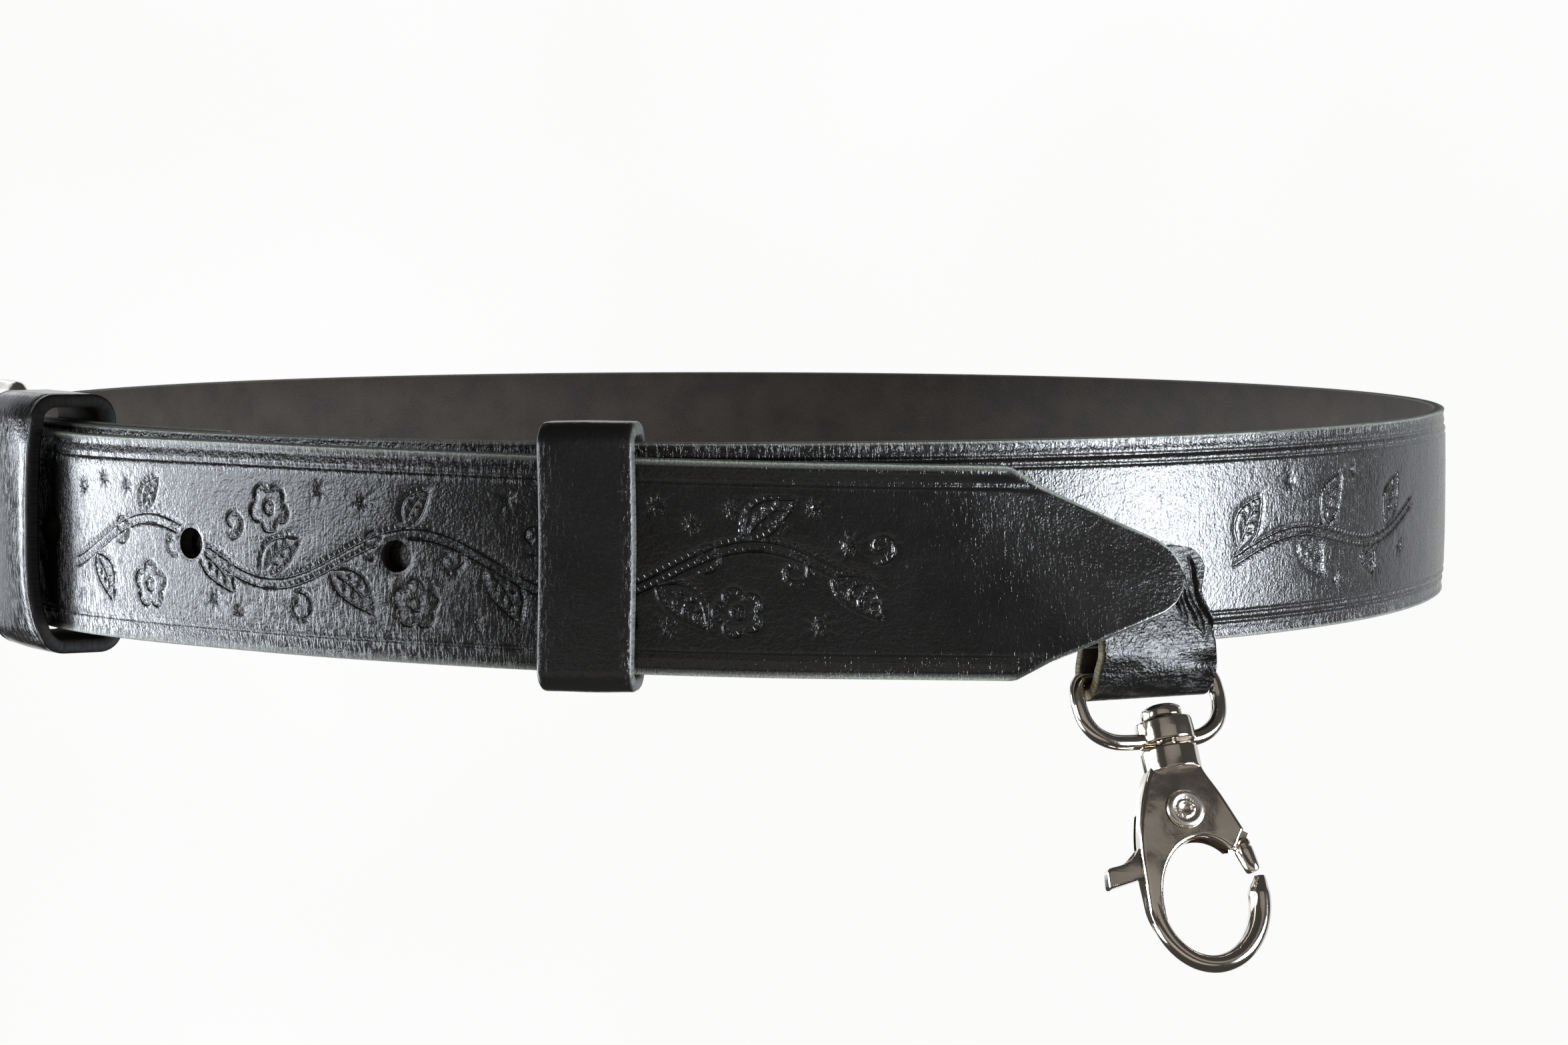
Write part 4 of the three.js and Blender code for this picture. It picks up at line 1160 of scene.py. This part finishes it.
def cast(name, outline, thick, round_off):
    """A flat casting from a closed outline, with its edges rounded."""
    return as_mesh(drawn(
        name, [(x, y, 0) for x, y in outline], dimensions="2D", fill_mode="BOTH",
        extrude=thick / 2 - round_off, bevel_depth=round_off, bevel_resolution=4,
        offset=-round_off,
    ), 0.03)


def turned(name, profile, steps=64):
    """A turned piece about its own Y axis, from a profile of radius and height."""
    profile = np.array(profile, float)
    piece, column, row = grid(name, steps, len(profile) - 1)
    angle = column / steps * 2 * math.pi
    radius, height = profile[row].T
    move_to(piece, np.stack([radius * np.cos(angle), height, radius * np.sin(angle)], -1))
    tidy(piece, 1e-4)
    return piece


def soft_profile(points, ease):
    """A profile with each of its inner corners cut by a short round."""
    points = [np.array(point, float) for point in points]
    rounded = [points[0]]
    for before, corner, after in zip(points, points[1:], points[2:]):
        back, on = np.linalg.norm(before - corner), np.linalg.norm(after - corner)
        reach = min(ease, back / 2.2, on / 2.2)
        start = corner + (before - corner) / back * reach
        end = corner + (after - corner) / on * reach
        for share in np.linspace(0, 1, 5):
            bow = (1 - share) ** 2 * start + 2 * share * (1 - share) * corner
            rounded.append(bow + share ** 2 * end)
    rounded.append(points[-1])
    return rounded


def wire(name, line, radius, closed=True, fineness=6, widths=None):
    """Round wire along a line of places, of one width or of many."""
    piece = drawn(
        name, line, closed, dimensions="3D", bevel_depth=radius, bevel_resolution=fineness,
        use_fill_caps=not closed,
    )
    if widths is not None:
        piece.data.splines[0].points.foreach_set("radius", list(widths))
    return as_mesh(piece, 1e-4)


def shade_metal(piece, degrees, finish):
    """Lets the large faces of a casting set its shading, so that flat stays flat."""
    shade(piece, degrees, finish)
    modify(piece, "WEIGHTED_NORMAL", keep_sharp=True)


def through(points, steps=10):
    """A smooth line through points (Catmull-Rom)."""
    points = np.array([points[0], *points, points[-1]], float)
    line = []
    for a, b, c, d in zip(points, points[1:], points[2:], points[3:]):
        for t in np.linspace(0, 1, steps, endpoint=False):
            line.append(0.5 * (2 * b + (c - a) * t + (2 * a - 5 * b + 4 * c - d) * t ** 2
                               + (3 * b - a - 3 * c + d) * t ** 3))
    line.append(points[-1])
    return np.array(line)


# %% Where the ring and the hook stand
LEAN, YAW = math.radians(24), math.radians(10)
BOSS = (1.9, -10.9, 0)
IN_METRES = Matrix.Diagonal((MM, MM, MM, 1))
upward = np.array([0, 0, math.cos(LEAN)]) - ring_out * math.sin(LEAN)
ring_front = np.cross(ring_across, upward)
ring_stand = stance((ring_across, upward, ring_front), ring_middle * MM, MM)
hook_stand = ring_stand @ Matrix.Translation(BOSS) @ Matrix.Rotation(-YAW, 4, "Y")
print("ring at", [round(value, 1) for value in ring_middle], "mm")

# %% [markdown]
# ## Swivel ring
#
# The ring is a D of round wire whose straight side lies in the tab. At the bottom of the D is
# a boss with a hole for the hook's pin, cast in one with it.

# %% Swivel ring
RING_WIRE, BOSS_BORE = 1.42, 2.3
half_ring = through([
    (0, 0), (6, 0), (11.6, 0), (13.4, -0.35), (14.2, -1.6), (14.5, -3.4), (14.5, -5.4),
    (13.9, -8.0), (12.3, -10.2), (9.6, -11.7), (6.4, -12.2), (0, -12.25),
], 8)
ring_line = np.concatenate([half_ring, half_ring[-2:0:-1] * (-1, 1)])
ring = wire("swivel_ring_wire", [(x, y, 0) for x, y in ring_line], RING_WIRE)
boss = turned("boss", soft_profile(
    [(0, -2.15), (5.25, -2.15), (5.35, 0), (5.25, 2.15), (0, 2.15)], 0.5))
combine(ring, stand(boss, Matrix.Translation(BOSS)), "UNION")
combine(ring, rod(BOSS_BORE, 20, BOSS, (math.pi / 2, 0, 0)), "DIFFERENCE")
# A cut can leave needle faces along its seam, and this takes them out.
edit(ring, (bpy.ops.mesh.dissolve_degenerate, {"threshold": 2e-3}))
stand(ring, ring_stand)
shade_metal(ring, 40, bright_nickel)
hand_over(ring, "ring", "hook", "swivel_ring")

# %% [markdown]
# ## Hook
#
# The hook is one casting: a round pin with a low head above the ring's boss, a neck below it,
# and a flat plate that widens and runs out into the bow. The plate is a filled outline, drawn
# as one line down its left side, along the start of the bow and back round the eye. The bow
# is round and thins towards its nose, so it is a wire of many widths that overlaps the plate.
# The plate is slotted for the lever, which turns on a rivet with a dimple.

# %% Hook outline
PIVOT = (-0.25, -14.9)


def oval_arc(middle, width, height, start, end, tilt=0.0, steps=44):
    arc = np.radians(np.linspace(start, end, steps))
    x, y = width * np.cos(arc), height * np.sin(arc)
    lean = math.radians(tilt)
    return np.stack([
        middle[0] + x * math.cos(lean) - y * math.sin(lean),
        middle[1] + x * math.sin(lean) + y * math.cos(lean),
    ], -1)


BOW = ((1.45, -30.6), 11.75, 13.8)
EYE = ((1.0, -30.85), 8.3, 10.55)
left_side = through([
    (-4.5, -5.9), (-6.2, -8.6), (-8.1, -13.2), (-9.5, -18.6), (-10.1, -24.0), (-10.2, -28.6),
], 6)
right_side = through([(10.25, -19.7), (9.45, -17.7), (7.3, -12.6), (5.2, -8.4), (4.5, -5.9)], 6)
outer = oval_arc(*BOW, 172, 371.5, steps=90)
inner = oval_arc(*EYE, 172, 371.5, -4, steps=90)
run_out = np.arange(6, 30)
share = smooth_step(run_out, 8, 30)[:, None] * 0.42
run_out_left = outer[run_out] * (1 - share) + inner[run_out] * share
run_out_right = inner[run_out] * (1 - share) + outer[run_out] * share
plate_line = np.concatenate([
    left_side, run_out_left, run_out_right[::-1], oval_arc(*EYE, -176, -309, -4),
    oval_arc((7.4, -22.05), 1.0, 1.0, -105, -25, steps=5), right_side,
])
print("plate outline", len(plate_line), "points")

# %% Hook
hook = cast("hook_casting", plate_line, 5.0, 0.85)
spots = spots_of(hook)
spots[:, 2] *= 1 - 0.5 * smooth_step(-spots[:, 1], 24, 38)
move_to(hook, spots)
edit(hook, (bpy.ops.mesh.quads_convert_to_tris, {"ngon_method": "BEAUTY"}))
nose = 1 - 0.5 * smooth_step(np.arange(90), 83, 90)
middle_line = outer + (inner - outer) * nose[:, None] / 2
bow = wire("bow", [(x, y, 0) for x, y in middle_line], 1.0, closed=False, fineness=8,
           widths=np.linalg.norm(outer - inner, axis=1) * 0.49 * nose)
stand(bow, Matrix.Diagonal((1, 1, 1.28, 1)))
NECK, PIN = 5.25, 1.9
stem = turned("stem", soft_profile([
    (0, -7.5), (NECK, -7.5), (NECK, -3.15), (PIN, -3.15), (PIN, 2.5), (3.75, 2.5),
    (3.75, 4.3), (2.6, 5.0), (0, 5.1),
], 0.45))
combine(hook, stem, "UNION")


def lever_box(end, past, width, thick, swing=0.0, level=0.0):
    """A bar from the pivot towards a place of the hook, and on past it."""
    way = Vector(end) - Vector(PIVOT)
    bpy.ops.mesh.primitive_cube_add(size=1)
    return stand(
        bpy.context.object,
        Matrix.Translation((*PIVOT, level))
        @ Matrix.Rotation(math.atan2(way.y, way.x) + swing, 4, "Z")
        @ Matrix.Translation(((way.length + past) / 2, 0, 0))
        @ Matrix.Diagonal((way.length + past, width, thick, 1)),
    )


def disc(radius, thick):
    return rod(radius, thick, (*PIVOT, 0))


GATE_SIDE, THUMB_SIDE, PIVOT_BORE = (10.1, -21.4), (-9.2, -22.4), 1.85
slot = disc(4.0, 2.7)
for swing in np.radians(np.linspace(0, -28, 4)):
    combine(slot, lever_box(GATE_SIDE, 5, 5.2, 2.7, swing), "UNION")
    combine(slot, lever_box(THUMB_SIDE, 5, 4.4, 1.5, swing, -1.25), "UNION")
combine(slot, disc(PIVOT_BORE, 12), "UNION")
combine(hook, slot, "DIFFERENCE")
only(hook)
bow.select_set(True)
bpy.ops.object.join()
stand(hook, hook_stand)
shade_metal(hook, 32, bright_nickel)
hand_over(hook, "hook", "hook", "hook_body")

# %% Gate rivet
rivet_end = [
    (3.6, 2.75), (3.55, 2.98), (3.3, 3.28), (2.95, 3.48), (2.6, 3.52), (2.3, 3.4), (2.1, 3.15),
    (1.85, 3.05), (1.65, 3.2), (1.4, 3.26), (1.15, 3.1), (0.95, 2.7), (0.6, 2.5), (0, 2.45),
]
rivet_profile = [(0, -2.8), *[(r, -h) for r, h in reversed(rivet_end[:-1])], (1.5, -2.75),
                 (1.5, 2.75), *rivet_end]
rivet = turned("gate_rivet_pin", rivet_profile, 56)
spots = spots_of(rivet)
reach = np.hypot(spots[:, 0], spots[:, 2])
note(rivet, "peened", smooth_step(reach, 0.9, 1.2) * smooth_step(-reach, -2.3, -1.9))
stand(rivet, hook_stand @ Matrix.Translation((*PIVOT, 0)) @ Matrix.Rotation(math.pi / 2, 4, "X"))
shade(rivet, 30, rivet_nickel)
hand_over(rivet, "hook", "hook", "gate_rivet")

# %% [markdown]
# ## Gate lever
#
# Thumb piece and gate are one part that turns on the rivet inside the plate. Pushing the
# thumb piece swings the gate into the eye.

# %% Gate lever
GATE_TIP, GATE_ROOT = Vector((11.2, -27.35, 0)), Vector((9.5, -20.9, 0))
THUMB = (
    (-9.6, -20.3), (-11.2, -22.2), (-13.6, -23.3), (-16.5, -23.6), (-16.9, -27.4), (-9.9, -26.1),
)


def rounded_outline(points, ease):
    """A closed outline with each of its corners cut by a short round."""
    return soft_profile([points[-1], *points, points[0]], ease)[1:-1]


lever = disc(3.3, 2.0)
bpy.ops.object.transform_apply(location=True)
combine(lever, lever_box(GATE_SIDE, 0.4, 3.0, 2.0), "UNION")
combine(lever, lever_box(THUMB_SIDE, 3.6, 3.6, 1.3, level=-1.15), "UNION")
combine(lever, cast("thumb", rounded_outline(THUMB, 0.8), 3.0, 0.55), "UNION")
gate = turned("gate", [
    (0, 0), (0.8, 0.04), (1.15, 0.2), (1.35, 0.6), (1.48, 1.7), (1.62, 3.1), (1.7, 4.1),
    (1.68, 4.45), (1.47, 4.67), (1.47, 4.77), (1.7, 5.0), (1.74, 5.4), (1.55, 6.0), (1.05, 6.45),
    (0.5, 6.6), (0, 6.65),
], 40)
along_gate = GATE_ROOT - GATE_TIP
stand(gate, Matrix.Translation(GATE_TIP)
      @ Matrix.Rotation(math.atan2(along_gate.y, along_gate.x) - math.pi / 2, 4, "Z")
      @ Matrix.Diagonal((1, 1, 1.12, 1)))
combine(lever, gate, "UNION")
combine(lever, disc(PIVOT_BORE, 12), "DIFFERENCE")
lever.name = "gate_lever_casting"
stand(lever, hook_stand)
shade_metal(lever, 32, bright_nickel)
hand_over(lever, "gate", "hook", "gate_lever")

# %% [markdown]
# ## Buckle
#
# The buckle lies outside the photograph, so it is a plain rounded frame of the usual kind,
# bent a little to the waist, with the prong lying through the first hole and on the rail.
# It stays fastened, so frame, bar and prong are one piece here.

# %% Buckle
RAIL_ALONG, RAIL_OUT = -27.5, 3.0
FRAME_HALF, FRAME_CORNER, FRAME_WIRE, PRONG_WIRE = 23.4, 5, 2.1, 1.6


def frame_out(along):
    """How far out the frame lies: it rises from its bar to the rail."""
    risen = smooth_step(BAR_ALONG - along, 7, BAR_ALONG - RAIL_ALONG)
    return BAR_OUT + (RAIL_OUT - BAR_OUT) * risen


_, frame_path, _ = loop_path(RAIL_ALONG, BAR_ALONG, -FRAME_HALF, FRAME_HALF, FRAME_CORNER)
frame_path = frame_path[:-1]
dense = []
for start, end in zip(frame_path, np.roll(frame_path, -1, axis=0)):
    pieces = max(1, int(np.linalg.norm(end - start) / 2.0))
    dense += [start + (end - start) * share for share in np.linspace(0, 1, pieces, endpoint=False)]
dense = np.array(dense)
frame_places = on_waist(dense[:, 0], frame_out(dense[:, 0]), dense[:, 1])
buckle = wire("buckle_frame", frame_places, FRAME_WIRE, fineness=5)
hole = HOLES[0]
prong_rows = through([
    (BAR_ALONG, BAR_OUT, 0), (hole + 2.2, BAR_OUT + 2.6, -0.3), (hole + 0.9, BAR_OUT + 5.6, -0.6),
    (hole - 1, 5.4, -0.6), (hole - 5, 7.2, -0.6), (hole - 17, 6.5, -0.3),
    (RAIL_ALONG, RAIL_OUT + 3.1, 0), (RAIL_ALONG - 3.0, RAIL_OUT + 2.7, 0),
], 8)
prong = wire("prong", on_waist(*prong_rows.T), PRONG_WIRE, closed=False, fineness=5)
combine(buckle, prong, "UNION")
collar = rod(3.2, 5.2, tuple(on_waist(BAR_ALONG, BAR_OUT, 0)))
modify(collar, "BEVEL", width=0.5, segments=3, limit_method="ANGLE", angle_limit=math.radians(35))
combine(buckle, collar, "UNION")
stand(buckle, IN_METRES)
shade(buckle, 40, worn_nickel)
hand_over(buckle, "belt", "buckle", "buckle")

# %% [markdown]
# ## Rivets
#
# Three rivets hold the leather: two behind the buckle and one through the tab. They are seen
# only from inside the waist, as low domes.


# %% Rivets
CAP = [(0, 0), (2.2, 0.12), (3.15, 0.45), (3.2, 0.7), (1.5, 0.72)]


def strap_rivet(name, along, up, inner, outer, outer_cap):
    """A rivet through the leather, with a cap inside and maybe one outside."""
    height = outer - inner
    if outer_cap:
        far_end = [(radius, height - rise) for radius, rise in CAP[::-1]]
    else:
        far_end = [(1.5, height - 0.1), (0, height)]
    piece = turned(name, CAP + far_end, 48)
    _, ahead, outward = waist(along)
    stand(piece, stance((ahead, outward, (0, 0, 1)), on_waist(along, inner, up)))
    tidy(piece, 1e-4)
    stand(piece, IN_METRES)
    shade(piece, 40, worn_nickel)
    return piece


for name, along, up, inner, outer, outer_cap, node in (
    ("turnback_rivet_a", TURNBACK_RIVETS[0], 0, -8.0, -0.3, False, "turnback_rivet_1"),
    ("turnback_rivet_b", TURNBACK_RIVETS[1], 0, -6.8, -0.3, False, "turnback_rivet_2"),
    ("tab_rivet_pin", *TAB_RIVET, -6.5, 3.5, True, "tab_rivet"),
):
    hand_over(strap_rivet(name, along, up, inner, outer, outer_cap), "belt", "rivet", node)

# %% [markdown]
# ## Sizes
#
# Both boxes, the CAD model's and the visual model's, are printed.

# %% Sizes
full_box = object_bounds()
for name, box in (("cad", cad_box), ("visual", full_box)):
    print(name, [[round(value * 1000, 1) for value in corner] for corner in box])
